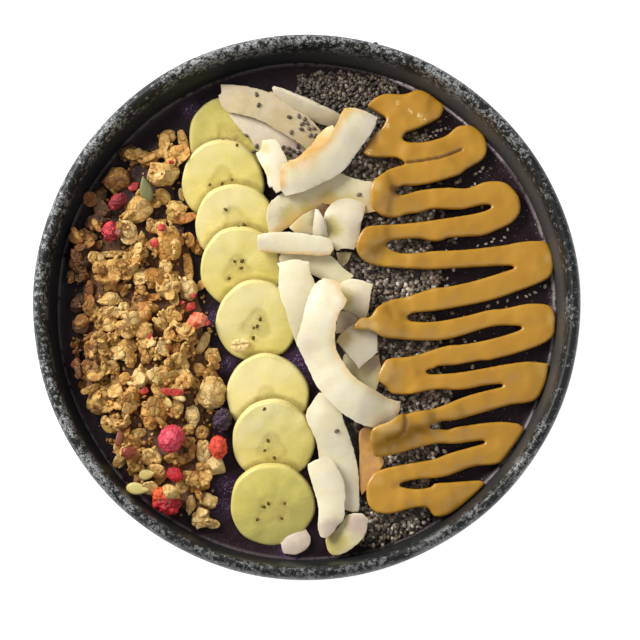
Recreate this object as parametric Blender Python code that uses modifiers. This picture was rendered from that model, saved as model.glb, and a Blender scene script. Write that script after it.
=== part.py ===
"""Acai bowl: a round stoneware bowl of frozen acai with banana, granola, fruit,
coconut chips, chia seeds and a drizzle of peanut butter on top.

Sizes are in millimetres and are scaled to metres as each object is made.
+X is the peanut butter side, -X the granola side, -Y the near side, +Z up.
Every topping is laid on what already lies in the bowl, in the order it was served.
"""
import math

import bmesh
import bpy
import numpy as np
from mathutils import Euler, Vector

MM = 0.001
GAP = 0.3

# Bowl
RIM_RADIUS = 96.0
BOWL_HEIGHT = 62.0
CREST_RADIUS = 93.2
LIP_INNER_RADIUS = 91.0
WALL_RADIUS = 89.0
FOOT_RADIUS = 48.0
FOOT_WIDTH = 5.5
FOOT_RECESS = 3.0
FLOOR_HEIGHT = 9.5
OUTER_CURVE_RADIUS = 52.0
OUTER_CURVE_TOP = 52.0
OUTER_CURVE_DROP = 45.0
OUTER_CURVE_DEGREES = (72, 54, 38, 24, 11)
INNER_RADIUS = 88.3
INNER_CURVE_TOP = 44.0
INNER_CURVE_DEGREES = (20, 36, 54, 72)
BOWL_STEPS = 48

# Fill: its level, its room from the wall at the top, and how deep the bananas stand in it
ACAI_LEVEL = 47.0
ACAI_ROOM = 0.8
SINK = 4.0

# Banana slices: centre x, centre y, width, turn of the outline in degrees
BANANA_THICKNESS = 4.6
BANANA_SIDES = 24
BANANA_EDGE = 0.7
BANANA_SWELL = 0.014
BANANA_LEANS = range(3, 31)
BANANA_TILT = 2
BANANA_SLICES = [
    (-27.5, 62.0, 30.0, 20),
    (-29.8, 45.5, 29.8, 75),
    (-25.0, 30.0, 29.4, 10),
    (-23.0, 14.5, 29.6, 50),
    (-17.6, -4.5, 29.2, 95),
    (-13.7, -30.6, 29.4, 30),
    (-11.5, -46.8, 29.6, 60),
    (-11.9, -69.2, 29.8, 0),
]

# Chia seeds spread in one bed between the coconut and the peanut butter
CHIA_DEPTH = 2.2
CHIA_OUTLINE = [
    (2, 85), (14, 84), (26, 80), (34, 76), (37, 66), (44, 60), (38, 46), (46, 35), (44, 24),
    (49, 12), (44, 2), (48, -10), (46, -20), (52, -30), (48, -41), (46, -52), (43, -63),
    (42, -74), (32, -80), (22, -83), (10, -78), (7, -58), (4, -34), (9, -12), (7, 8), (8, 24),
    (-2, 44), (1, 62), (-5, 76),
]

# Granola heap: from its near end to its far end, with its left edge at even steps
HEAP_NEAR = -79.0
HEAP_FAR = 66.0
HEAP_LEFT = [-36, -51, -60, -67, -73, -80, -82, -83, -83, -84, -82, -80, -76, -71, -64, -54]
HEAP_RIGHT = -28.0
HEAP_ROWS = 16
HEAP_COLUMNS = 6
HEAP_TOP = 8.6
HEAP_EDGE = 3.2
HEAP_LUMP = 1.3
HEAP_ROOM = 1.0

# Fruit pieces: x, y, length, width, height, turn in degrees, colour
FRUIT = {
    "raspberry": (-47.0, -46.3, 10.2, 9.0, 7.6, 60, (0.72, 0.09, 0.11)),
    "goji_berry": (-30.9, -49.2, 8.6, 6.6, 5.4, 95, (0.58, 0.07, 0.035)),
    "cherry_piece": (-45.8, -58.8, 6.4, 5.2, 4.4, -30, (0.32, 0.015, 0.02)),
    "strawberry_chunk": (-49.3, -67.0, 11.6, 8.8, 7.6, -34, (0.42, 0.025, 0.018)),
    "papaya_piece": (-38.4, -4.6, 7.6, 6.0, 5.0, 25, (0.75, 0.25, 0.11)),
    "cranberry": (-66.8, 37.8, 7.6, 5.2, 4.6, 40, (0.19, 0.012, 0.014)),
    "red_berry": (-69.2, 27.0, 7.4, 6.2, 6.0, 80, (0.50, 0.04, 0.045)),
    "acai_lump": (-29.6, -39.6, 8.8, 6.8, 6.0, 70, (0.05, 0.018, 0.04)),
}
FRUIT_STAND = 0.12
FRUIT_DENT = 0.05
FRUIT_ROOM = 0.4

# Coconut chips, in the order they lie from bottom to top.
# Each has its thickness, its rise across the width, its arch, its cup and rows of x, y, width.
CHIPS = {
    "coconut_under_slice": (1.2, 0.10, 0.3, 0.2, [
        (-6.3, -85.2, 2.5), (-3.5, -85.4, 4.4), (0.0, -84.3, 4.6), (2.6, -83.0, 2.5)]),
    "coconut_top_pink": (1.4, 0.08, 0.6, 0.5, [
        (-28.0, 69.0, 5.5), (-20.0, 66.5, 9.5), (-11.0, 61.5, 9.5), (-2.8, 56.8, 7.0)]),
    "coconut_top_wide": (1.5, -0.05, 0.8, 0.7, [
        (-31.2, 78.2, 5.5), (-24.0, 75.6, 10.5), (-14.0, 72.4, 12.0), (-4.0, 66.6, 11.5),
        (3.2, 62.2, 7.5)]),
    "coconut_top_steep": (1.5, 1.15, 0.3, 0.0, [
        (-11.2, 79.2, 2.2), (-5.0, 76.3, 4.2), (3.5, 71.9, 5.0), (10.8, 67.8, 3.8)]),
    "coconut_arch": (1.6, 0.18, 1.2, 0.7, [
        (-9.6, 27.6, 9.0), (-8.6, 34.5, 11.0), (-1.5, 40.2, 11.5), (8.0, 42.2, 12.0),
        (17.0, 41.2, 11.5), (25.6, 39.2, 11.0)]),
    "coconut_under_arch": (1.3, 0.25, 0.3, 0.3, [
        (-5.6, 27.4, 3.5), (-1.6, 30.0, 6.0), (2.4, 33.2, 3.5)]),
    "coconut_grey_bit": (1.3, 0.15, 0.2, 0.2, [
        (13.4, 20.2, 5.0), (13.2, 17.4, 4.8), (12.4, 14.8, 2.2)]),
    "coconut_sliver": (1.3, 0.55, 0.4, 0.0, [
        (3.6, 34.6, 2.2), (4.6, 29.6, 3.8), (5.2, 24.2, 3.6)]),
    "coconut_round": (1.6, -0.12, 0.5, 0.6, [
        (16.4, 33.6, 7.0), (14.4, 29.2, 12.0), (13.8, 24.6, 10.8), (13.8, 20.6, 6.0)]),
    "coconut_yellow": (1.4, 0.20, 0.5, 0.2, [
        (-9.4, 16.0, 2.0), (-3.0, 15.9, 3.6), (4.0, 14.2, 5.4), (10.0, 11.8, 6.2),
        (15.6, 10.6, 2.6)]),
    "coconut_square": (1.6, 0.20, 0.4, 0.5, [
        (18.6, 9.0, 8.6), (18.6, 4.4, 10.8), (18.0, -0.4, 9.0), (18.8, -4.4, 4.2)]),
    "coconut_small": (1.3, 0.30, 0.2, 0.2, [
        (14.4, -2.2, 4.4), (14.6, -5.2, 6.2), (14.2, -8.2, 4.4)]),
    "coconut_clear": (1.2, 0.10, 0.3, 0.2, [
        (23.6, -18.4, 3.0), (22.4, -23.0, 6.0), (22.8, -28.8, 2.4)]),
    "coconut_angular": (1.6, -0.30, 0.4, 0.3, [
        (16.6, -8.6, 11.0), (19.4, -13.0, 11.4), (21.8, -19.6, 6.4)]),
    "coconut_upright": (1.5, 0.16, 0.6, 0.7, [
        (-3.6, 15.2, 10.0), (-4.0, 8.0, 11.0), (-3.0, 0.0, 10.5), (-1.4, -8.0, 9.0),
        (0.8, -15.2, 7.0)]),
    "coconut_level": (1.6, 0.22, 0.8, 0.6, [
        (-16.6, 23.4, 4.0), (-12.0, 22.9, 7.0), (-4.0, 22.4, 8.2), (4.0, 21.4, 7.6),
        (10.2, 19.8, 4.0)]),
    "coconut_long": (1.5, -0.12, 0.6, 0.7, [
        (7.4, -30.0, 9.0), (6.6, -38.0, 12.6), (8.8, -46.0, 12.2), (11.6, -54.0, 12.4),
        (14.4, -63.0, 9.2), (16.8, -71.6, 4.0)]),
    "coconut_leaf": (1.3, 0.15, 0.5, 0.5, [
        (19.0, -73.0, 5.0), (17.0, -77.4, 9.6), (13.4, -81.4, 10.4), (10.4, -85.6, 4.6)]),
    "coconut_near": (1.7, 0.10, 0.6, 0.9, [
        (5.0, -53.2, 6.0), (6.9, -58.6, 9.4), (8.5, -66.0, 10.0), (8.8, -73.0, 9.4),
        (7.0, -80.2, 4.0)]),
    "coconut_crescent": (1.7, 0.18, 0.4, 0.8, [
        (7.4, 9.8, 5.0), (6.2, 2.0, 12.0), (3.7, -10.0, 13.0), (6.3, -21.0, 12.2),
        (13.0, -30.8, 11.6), (22.6, -36.6, 10.4), (32.4, -36.0, 5.0)]),
    "coconut_short": (1.5, -0.15, 0.5, 0.5, [
        (-14.6, 58.2, 7.0), (-12.4, 52.4, 9.8), (-11.6, 46.4, 6.2), (-11.6, 41.6, 3.0)]),
    "coconut_tan": (1.3, 0.60, 0.4, 0.0, [
        (9.8, 65.4, 2.4), (8.4, 61.4, 4.2), (4.4, 57.2, 4.8), (-1.2, 54.2, 4.4),
        (-6.4, 51.8, 2.8)]),
}
LAST_CHIP = "coconut_top_curve"
LAST_CHIP_FORM = (1.7, -0.22, 1.0, 0.8, [
    (20.5, 69.8, 10.8), (17.6, 64.4, 11.4), (13.6, 57.6, 11.2), (7.6, 51.4, 11.2),
    (0.0, 47.2, 11.0), (-8.2, 44.8, 9.8)])
CHIP_STEP = 4.8
CHIP_STIFFNESS = 0.4
CHIP_ACROSS = 2
SAMPLES_ACROSS = 9

# Peanut butter: a pool, then legs from side to side with a round turn between them.
# Each row is x, y, width.
BUTTER_HEIGHT = 3.4
BUTTER_STEP = 7.0
BUTTER_TURN_POINTS = 4
BUTTER_SECTION = [
    (-0.74, 0.0), (-1.0, 0.34), (-0.66, 0.86), (0.0, 1.0), (0.66, 0.86), (1.0, 0.34), (0.74, 0.0),
]
BUTTER_LEGS = [
    [(45.8, 70.8, 6.0), (41.0, 71.6, 12.0), (34.5, 71.0, 13.6), (29.4, 66.6, 12.0),
     (28.4, 61.2, 11.6), (31.0, 57.2, 8.6), (38.0, 56.1, 7.4), (46.0, 57.1, 7.2),
     (52.0, 59.2, 7.4), (55.6, 61.0, 7.5)],
    [(56.8, 53.2, 7.4), (50.0, 50.2, 7.3), (40.0, 48.3, 7.2), (30.8, 45.6, 7.4)],
    [(31.0, 36.4, 7.4), (40.0, 38.1, 7.0), (50.0, 38.9, 7.6), (60.0, 39.8, 7.0),
     (68.2, 41.8, 7.8)],
    [(69.4, 33.4, 7.8), (60.0, 29.9, 7.6), (50.0, 28.4, 7.4), (40.0, 27.4, 6.8),
     (32.0, 26.8, 7.0), (25.4, 25.8, 7.4)],
    [(26.0, 17.8, 7.4), (40.0, 17.0, 6.6), (50.0, 17.2, 6.8), (60.0, 18.0, 7.0),
     (70.0, 19.1, 7.3), (78.2, 19.6, 7.4)],
    [(78.6, 11.5, 7.4), (70.0, 9.0, 7.6), (60.0, 6.2, 7.6), (50.0, 3.8, 7.4),
     (40.0, 1.9, 7.2), (29.6, -0.3, 7.2)],
    [(29.6, -8.0, 7.2), (40.0, -8.4, 7.0), (50.0, -7.7, 6.6), (60.0, -4.9, 6.6),
     (70.0, -3.0, 6.8), (79.6, -2.6, 7.2)],
    [(79.8, -10.6, 7.2), (70.0, -13.6, 7.0), (60.0, -15.6, 6.8), (50.0, -16.7, 6.8),
     (41.0, -18.9, 6.9), (32.8, -20.2, 7.0)],
    [(33.0, -27.8, 7.2), (42.0, -27.7, 6.8), (50.0, -26.8, 6.2), (60.0, -25.6, 6.4),
     (70.0, -23.6, 6.8), (75.8, -22.7, 7.2)],
    [(74.6, -30.6, 7.2), (70.0, -31.9, 7.0), (60.0, -34.7, 6.8), (50.0, -37.3, 6.2),
     (40.0, -39.7, 6.2), (31.0, -40.9, 6.8)],
    [(31.0, -48.3, 7.2), (40.0, -46.5, 6.2), (50.0, -44.9, 6.4), (60.0, -43.5, 6.8),
     (66.2, -43.2, 7.0)],
    [(62.8, -50.8, 7.0), (58.0, -52.9, 7.2), (50.0, -55.3, 7.2), (40.0, -57.6, 7.0),
     (29.0, -60.2, 7.2)],
    [(28.6, -68.2, 7.8), (36.0, -67.4, 7.2), (42.0, -67.0, 6.6), (48.4, -66.8, 9.4),
     (54.4, -63.4, 6.8), (58.6, -60.8, 4.0)],
]

# Grid on which the heights of the laid toppings are kept
CELL = 0.5
SAMPLE = 0.6


def make_material(name, color, roughness, metallic=0.0):
    """A Principled material."""
    material = bpy.data.materials.new(name)
    material.use_nodes = True
    shader = material.node_tree.nodes["Principled BSDF"]
    shader.inputs["Base Color"].default_value = (*color, 1.0)
    shader.inputs["Roughness"].default_value = roughness
    shader.inputs["Metallic"].default_value = metallic
    material.diffuse_color = (*color, 1.0)
    return material


def make_collection(name, hidden=False):
    """A collection in the scene."""
    collection = bpy.data.collections.new(name)
    bpy.context.scene.collection.children.link(collection)
    collection.hide_render = hidden
    return collection


def make_object(name, work, collection, material=None):
    """An object from a bmesh in millimetres."""
    bmesh.ops.scale(work, vec=(MM, MM, MM), verts=work.verts)
    mesh = bpy.data.meshes.new(name)
    work.to_mesh(mesh)
    work.free()
    obj = bpy.data.objects.new(name, mesh)
    collection.objects.link(obj)
    if material:
        mesh.materials.append(material)
    return obj


def smooth_rows(rows, step):
    """Rows on a smooth curve through the given rows, about one step apart in plan."""
    rows = np.array(rows, dtype=float)
    lengths = np.linalg.norm(np.diff(rows[:, :2], axis=0), axis=1)
    ends = np.vstack([2 * rows[0] - rows[1], rows, 2 * rows[-1] - rows[-2]])
    result = [rows[0]]
    for index, length in enumerate(lengths):
        before, start, stop, after = ends[index:index + 4]
        count = max(1, round(length / step))
        for part in range(1, count + 1):
            t = part / count
            linear = (stop - before) * t
            square = (2 * before - 5 * start + 4 * stop - after) * t * t
            cube = (3 * start - before - 3 * stop + after) * t ** 3
            result.append(0.5 * (2 * start + linear + square + cube))
    return np.array(result)


def side_vectors(rows):
    """The level vector to the left of the path at each row."""
    ahead = np.gradient(rows[:, :2], axis=0)
    ahead /= np.linalg.norm(ahead, axis=1)[:, None]
    return np.column_stack([-ahead[:, 1], ahead[:, 0]])


class Relief:
    """The height of what lies in the bowl, kept on a square grid."""

    def __init__(self):
        count = int(2 * RIM_RADIUS / CELL) + 1
        self.height = np.zeros((count, count))
        self.wide = self.height

    def cells(self, values):
        """The grid row or column of each place."""
        last = len(self.height) - 1
        return np.clip(np.rint((values + RIM_RADIUS) / CELL).astype(int), 0, last)

    def widen(self):
        """Keep the highest neighbour of each cell, for room to the sides."""
        padded = np.pad(self.height, 1, mode="edge")
        count = len(self.height)
        shifts = [(row, column) for row in range(3) for column in range(3)]
        self.wide = np.max([padded[r:r + count, c:c + count] for r, c in shifts], axis=0)

    def flood(self, level):
        """Raise every lower cell to one level."""
        self.height = np.maximum(self.height, level)
        self.widen()

    def stamp(self, points):
        """Raise the cells to the points that lie over them."""
        np.maximum.at(self.height, (self.cells(points[:, 1]), self.cells(points[:, 0])),
                      points[:, 2])
        self.widen()

    def under(self, points):
        """The height of what lies at each point's place."""
        return self.wide[self.cells(points[..., 1]), self.cells(points[..., 0])]

    def lift(self, points):
        """How far the points must rise to clear what lies under them."""
        return float(np.max(self.under(points) + GAP - points[:, 2]))


def surface_points(obj):
    """Close-set points over an object's finished surface, in millimetres."""
    bpy.context.view_layer.update()
    depsgraph = bpy.context.evaluated_depsgraph_get()
    mesh = obj.evaluated_get(depsgraph).to_mesh()
    mesh.calc_loop_triangles()
    corners = np.array([vertex.co for vertex in mesh.vertices]) / MM
    points = []
    for triangle in mesh.loop_triangles:
        first, second, third = corners[list(triangle.vertices)]
        longest = max(np.linalg.norm(second - first), np.linalg.norm(third - first),
                      np.linalg.norm(third - second))
        count = int(longest / SAMPLE) + 2
        across, along = np.meshgrid(np.linspace(0, 1, count), np.linspace(0, 1, count))
        inside = across + along <= 1.0
        across = across[inside][:, None]
        along = along[inside][:, None]
        points.append(first + (second - first) * across + (third - first) * along)
    obj.evaluated_get(depsgraph).to_mesh_clear()
    return np.vstack(points)


def place(obj, relief, points):
    """Rest an object on the relief and add it to the relief."""
    rise = relief.lift(points)
    obj.location.z += rise * MM
    relief.stamp(points + np.array([0.0, 0.0, rise]))


def bowl_profile():
    """The bowl's section from the foot's axis out, over the lip and back to the axis."""
    foot_inner = FOOT_RADIUS - FOOT_WIDTH
    outside = [
        (0.0, FOOT_RECESS + 0.6), (foot_inner - 1.5, FOOT_RECESS), (foot_inner, 0.6),
        (foot_inner + 0.8, 0.0), (FOOT_RADIUS - 0.8, 0.0), (FOOT_RADIUS, 0.8),
        (FOOT_RADIUS + 2.5, 4.6),
    ]
    for degrees in OUTER_CURVE_DEGREES:
        angle = math.radians(degrees)
        reach = (RIM_RADIUS - OUTER_CURVE_RADIUS) * math.cos(angle) ** 0.75
        drop = OUTER_CURVE_DROP * math.sin(angle) ** 1.15
        outside.append((OUTER_CURVE_RADIUS + reach, OUTER_CURVE_TOP - drop))
    lip = [
        (RIM_RADIUS, 54.5), (RIM_RADIUS - 0.2, 58.4), (RIM_RADIUS - 1.0, 60.9),
        (CREST_RADIUS, BOWL_HEIGHT), (LIP_INNER_RADIUS + 0.5, 61.3),
        (LIP_INNER_RADIUS, 59.6),
    ]
    inside = [(WALL_RADIUS, ACAI_LEVEL + 3.0), (INNER_RADIUS, INNER_CURVE_TOP)]
    for degrees in INNER_CURVE_DEGREES:
        angle = math.radians(degrees)
        drop = (INNER_CURVE_TOP - FLOOR_HEIGHT) * math.sin(angle) ** 1.1
        inside.append((INNER_RADIUS * math.cos(angle) ** 0.7, INNER_CURVE_TOP - drop))
    inside.append((0.0, FLOOR_HEIGHT))
    return outside, lip, inside


def turned(name, profile, collection, material):
    """A solid turned round the upright axis from its section at the +X side."""
    work = bmesh.new()
    corners = [work.verts.new((radius, 0.0, height)) for radius, height in profile]
    for start, stop in zip(corners, corners[1:]):
        work.edges.new((start, stop))
    obj = make_object(name, work, collection, material)
    screw = obj.modifiers.new("turn", "SCREW")
    screw.steps = BOWL_STEPS
    screw.render_steps = BOWL_STEPS
    screw.use_merge_vertices = True
    screw.merge_threshold = 0.00005
    return obj


def cut(obj, cutter):
    """Cut one object with another."""
    boolean = obj.modifiers.new("cut " + cutter.name, "BOOLEAN")
    boolean.operation = "DIFFERENCE"
    boolean.solver = "EXACT"
    boolean.object = cutter


def make_bowl(collection):
    material = make_material("dark_stoneware", (0.018, 0.019, 0.018), 0.22)
    outside, lip, inside = bowl_profile()
    return turned("bowl", (outside + lip + inside)[::-1], collection, material)


def make_acai(collection):
    """The fill, from the bowl's inner wall up to its level."""
    material = make_material("acai", (0.021, 0.010, 0.015), 0.25)
    inside = bowl_profile()[2]
    profile = [(0.0, ACAI_LEVEL), (WALL_RADIUS - ACAI_ROOM, ACAI_LEVEL)]
    profile += [(max(0.0, radius - GAP), height + GAP) for radius, height in inside[1:]]
    return turned("acai", profile, collection, material)


def banana_mesh(width, thickness, turn):
    """A slice lying flat round the origin, with a softly three-sided outline."""
    work = bmesh.new()
    bmesh.ops.create_cone(work, cap_ends=True, segments=BANANA_SIDES, radius1=width / 2,
                          radius2=width / 2, depth=thickness)
    for vertex in work.verts:
        angle = math.atan2(vertex.co.y, vertex.co.x)
        swell = 1.0 + BANANA_SWELL * math.cos(3 * angle + math.radians(turn))
        vertex.co.x *= swell
        vertex.co.y *= swell
    return work


def soften(obj, width):
    """Round an object's edges with one flat."""
    bevel = obj.modifiers.new("soft edge", "BEVEL")
    bevel.width = width * MM
    bevel.segments = 1
    bevel.limit_method = "ANGLE"
    bevel.angle_limit = math.radians(50)


def lean_slice(local, x, y, relief):
    """The smallest lean at which a slice's low edge is sunk and its high side lies clear."""
    for degrees in BANANA_LEANS:
        turn = Euler((math.radians(degrees), math.radians(BANANA_TILT), 0.0))
        points = local @ np.array(turn.to_matrix()).T
        height = ACAI_LEVEL - SINK - points[:, 2].min()
        points = points + np.array([x, y, height])
        if relief.lift(points) <= 0:
            break
    relief.stamp(points)
    return turn, height


def make_bananas(collection, cutters, relief):
    """Eight slices in a row, each leaning on the one before it."""
    material = make_material("banana", (0.82, 0.68, 0.33), 0.42)
    pockets = []
    for number, (x, y, width, turn) in enumerate(BANANA_SLICES, start=1):
        work = banana_mesh(width, BANANA_THICKNESS, turn)
        slice_obj = make_object(f"banana_{number}", work, collection, material)
        soften(slice_obj, BANANA_EDGE)
        rotation, height = lean_slice(surface_points(slice_obj), x, y, relief)
        work = banana_mesh(width + 2 * GAP, BANANA_THICKNESS + 2 * GAP, turn)
        pocket = make_object(f"banana_pocket_{number}", work, cutters)
        for obj in (slice_obj, pocket):
            obj.rotation_euler = rotation
            obj.location = Vector((x, y, height)) * MM
        pockets.append(pocket)
    return pockets


def heap_right(y):
    """The heap's right edge: clear of the banana slices."""
    edge = HEAP_RIGHT
    for x, centre, width, _ in BANANA_SLICES:
        reach = width / 2 + HEAP_ROOM
        if abs(y - centre) < reach:
            edge = min(edge, x - math.sqrt(reach ** 2 - (y - centre) ** 2) - HEAP_ROOM)
    return edge


def heap_height(x, y, across, along):
    """The heap's height above the fill, with lumps and lower edges."""
    crown = (1 - across ** 2) ** 0.5 * (1 - abs(2 * along - 1) ** 3)
    lumps = math.sin(x * 0.62 + y * 0.21) * math.sin(y * 0.55 - x * 0.17 + 1.0)
    return HEAP_EDGE + (HEAP_TOP - HEAP_EDGE) * crown + HEAP_LUMP * lumps


def make_granola(collection):
    """The granola heap: a lumpy top over a flat base."""
    material = make_material("granola", (0.46, 0.26, 0.085), 0.75)
    work = bmesh.new()
    bmesh.ops.create_grid(work, x_segments=HEAP_COLUMNS, y_segments=HEAP_ROWS, size=1.0)
    steps = np.linspace(0, 1, len(HEAP_LEFT))
    for vertex in work.verts:
        across = vertex.co.x
        along = (vertex.co.y + 1) / 2
        y = HEAP_NEAR + (HEAP_FAR - HEAP_NEAR) * along
        left = float(np.interp(along, steps, HEAP_LEFT))
        x = left + (heap_right(y) - left) * (across + 1) / 2
        height = ACAI_LEVEL + GAP + heap_height(x, y, across, along)
        vertex.co = Vector((x, y, height))
    top = work.faces[:]
    skirt = bmesh.ops.extrude_face_region(work, geom=top, use_keep_orig=True)
    for item in skirt["geom"]:
        if isinstance(item, bmesh.types.BMVert):
            item.co.z = ACAI_LEVEL + GAP
    bmesh.ops.recalc_face_normals(work, faces=work.faces)
    return make_object("granola_heap", work, collection, material)


def make_chia(collection, relief):
    """The bed of chia seeds: one low slab with an uneven outline."""
    material = make_material("chia", (0.075, 0.065, 0.05), 0.45)
    work = bmesh.new()
    outline = smooth_rows(CHIA_OUTLINE + CHIA_OUTLINE[:1], 6.0)[:-1]
    corners = [work.verts.new((x, y, ACAI_LEVEL + GAP)) for x, y in outline]
    base = work.faces.new(corners)
    raised = bmesh.ops.extrude_face_region(work, geom=[base], use_keep_orig=True)
    for item in raised["geom"]:
        if isinstance(item, bmesh.types.BMVert):
            item.co.z += CHIA_DEPTH
    bmesh.ops.triangulate(work, faces=work.faces[:])
    bmesh.ops.recalc_face_normals(work, faces=work.faces)
    bed = make_object("chia_bed", work, collection, material)
    relief.stamp(surface_points(bed))


def fruit_mesh(size, grow):
    """A rounded lump of the given length, width and height."""
    work = bmesh.new()
    bmesh.ops.create_icosphere(work, subdivisions=2, radius=0.5)
    for vertex in work.verts:
        dent = 1.0 + FRUIT_DENT * math.sin(9 * vertex.co.x + 5 * vertex.co.y + 7 * vertex.co.z)
        vertex.co = Vector([dent * (c * (s + 2 * grow)) for c, s in zip(vertex.co, size)])
    return work


def make_fruit(collection, cutters, heap, relief):
    """Fruit pieces, each half set in a pocket of the granola or standing on the fill."""
    for name, (x, y, length, width, height, turn, color) in FRUIT.items():
        material = make_material(name, color, 0.4)
        size = (length, width, height)
        piece = make_object(name, fruit_mesh(size, 0.0), collection, material)
        pocket = make_object(name + "_pocket", fruit_mesh(size, FRUIT_ROOM), cutters)
        on_heap = float(relief.under(np.array([x, y]))) + FRUIT_STAND * height
        seat = max(on_heap, ACAI_LEVEL + GAP + height / 2)
        for obj in (piece, pocket):
            obj.rotation_euler = (0.0, 0.0, math.radians(turn))
            obj.location = Vector((x, y, seat)) * MM
        cut(heap, pocket)


def spread(heights, reach):
    """The heights with each peak widened by some rows, then evened out."""
    count = len(heights)
    padded = np.pad(heights, reach, mode="edge")
    peaks = np.max([padded[i:i + count] for i in range(2 * reach + 1)], axis=0)
    padded = np.pad(peaks, 1, mode="edge")
    return (padded[:-2] + 2 * padded[1:-1] + padded[2:]) / 4


def upper_hull(places, heights):
    """The taut line over the given heights, at the same places."""
    hull = []
    for point in zip(places, heights):
        while len(hull) > 1:
            (x0, y0), (x1, y1) = hull[-2:]
            if (y1 - y0) * (point[0] - x0) > (point[1] - y0) * (x1 - x0):
                break
            hull.pop()
        hull.append(point)
    return np.interp(places, *np.array(hull).T)


def chip_mesh(rows, rise, arch, cup, relief):
    """The chip's lower face, lying half slack over what is under it."""
    rows = smooth_rows(rows, CHIP_STEP)
    last = len(rows) - 1
    half = (side_vectors(rows) * rows[:, 2:3] / 2)[:, None, :]
    across = np.linspace(-1, 1, SAMPLES_ACROSS)[None, :]
    plan = rows[:, None, :2] + half * across[..., None]
    along = np.linspace(0, 1, last + 1)[:, None]
    form = rise * across * rows[:, 2:3] / 2 + cup * (1 - across ** 2)
    form = form + arch * 4 * along * (1 - along)
    needed = np.max(relief.under(plan) + GAP - form, axis=1)
    taut = upper_hull(along[:, 0], needed)
    spine = CHIP_STIFFNESS * taut + (1 - CHIP_STIFFNESS) * spread(needed, 1)

    work = bmesh.new()
    bmesh.ops.create_grid(work, x_segments=last, y_segments=CHIP_ACROSS, size=1.0)
    for vertex in work.verts:
        row = round((vertex.co.x + 1) / 2 * last)
        side = round((vertex.co.y + 1) / 2 * (SAMPLES_ACROSS - 1))
        vertex.co = Vector((*plan[row, side], form[row, side] + spine[row]))
    return work


def make_chip(name, form, collection, material, relief):
    """One coconut chip: a thin curved shaving."""
    thickness, rise, arch, cup, rows = form
    obj = make_object(name, chip_mesh(rows, rise, arch, cup, relief), collection, material)
    shell = obj.modifiers.new("thickness", "SOLIDIFY")
    shell.thickness = thickness * MM
    shell.offset = 1.0
    place(obj, relief, surface_points(obj))


def turn_rows(start, stop, rightward):
    """A half-round turn from the end of one leg to the start of the next."""
    start, stop = np.array(start), np.array(stop)
    middle = (start + stop) / 2
    arm = (start - stop) / 2
    out = np.array([-arm[1], arm[0], 0.0])
    if (out[0] > 0) != rightward:
        out = -out
    rows = []
    for part in range(1, BUTTER_TURN_POINTS + 1):
        angle = math.pi * part / (BUTTER_TURN_POINTS + 1)
        row = middle + arm * math.cos(angle) + out * math.sin(angle)
        row[2] = middle[2]
        rows.append(row)
    return rows


def butter_rows():
    """The whole run of the peanut butter: x, y, width."""
    rows = []
    rightward = True
    for number, leg in enumerate(BUTTER_LEGS):
        if number:
            rows += turn_rows(rows[-1], np.array(leg[0]), rightward)
            rightward = not rightward
        rows += list(smooth_rows(leg, BUTTER_STEP))
    return np.array(rows)


def butter_spine(rows, relief):
    """The height of the run: it sags over what is under it."""
    sides = side_vectors(rows)[:, None, :] * rows[:, None, 2:3] / 2
    across = np.linspace(-1, 1, SAMPLES_ACROSS)[None, :, None]
    needed = np.max(relief.under(rows[:, None, :2] + sides * across), axis=1) + GAP
    return spread(needed, 1)


def make_butter(collection, relief):
    """The peanut butter: a loft of domed sections along its run."""
    material = make_material("peanut_butter", (0.47, 0.225, 0.028), 0.3)
    rows = butter_rows()
    spine = butter_spine(rows, relief)
    work = bmesh.new()
    rings = []
    for (x, y, width), side, base in zip(rows, side_vectors(rows), spine):
        ring = []
        for across, up in BUTTER_SECTION:
            reach = across * width / 2
            place_at = (x + side[0] * reach, y + side[1] * reach, base + up * BUTTER_HEIGHT)
            ring.append(work.verts.new(place_at))
        rings.append(ring)
    for near, far in zip(rings, rings[1:]):
        for index in range(len(BUTTER_SECTION)):
            after = (index + 1) % len(BUTTER_SECTION)
            work.faces.new((near[index], near[after], far[after], far[index]))
    work.faces.new(rings[0][::-1])
    work.faces.new(rings[-1])
    bmesh.ops.recalc_face_normals(work, faces=work.faces)
    butter = make_object("peanut_butter", work, collection, material)
    place(butter, relief, surface_points(butter))


def main():
    for obj in list(bpy.data.objects):
        bpy.data.objects.remove(obj, do_unlink=True)
    parts = make_collection("acai_bowl")
    cutters = make_collection("cutters", hidden=True)
    relief = Relief()

    make_bowl(parts)
    acai = make_acai(parts)
    for pocket in make_bananas(parts, cutters, relief):
        cut(acai, pocket)
    heap = make_granola(parts)
    relief.flood(ACAI_LEVEL)
    relief.stamp(surface_points(heap))
    make_fruit(parts, cutters, heap, relief)
    make_chia(parts, relief)
    coconut = make_material("coconut", (0.78, 0.72, 0.58), 0.45)
    for name, form in CHIPS.items():
        make_chip(name, form, parts, coconut, relief)
    make_butter(parts, relief)
    make_chip(LAST_CHIP, LAST_CHIP_FORM, parts, coconut, relief)

    for cutter in cutters.objects:
        cutter.display_type = "WIRE"
        cutter.hide_render = True


main()
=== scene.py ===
"""The looks of the acai bowl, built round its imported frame.

Sizes in this script are in millimetres, and every mesh is scaled to metres as it is made.
"""
import math

import bmesh
import bpy
import numpy as np
from mathutils import Euler, Matrix, Vector, noise
from mathutils.bvhtree import BVHTree


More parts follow.
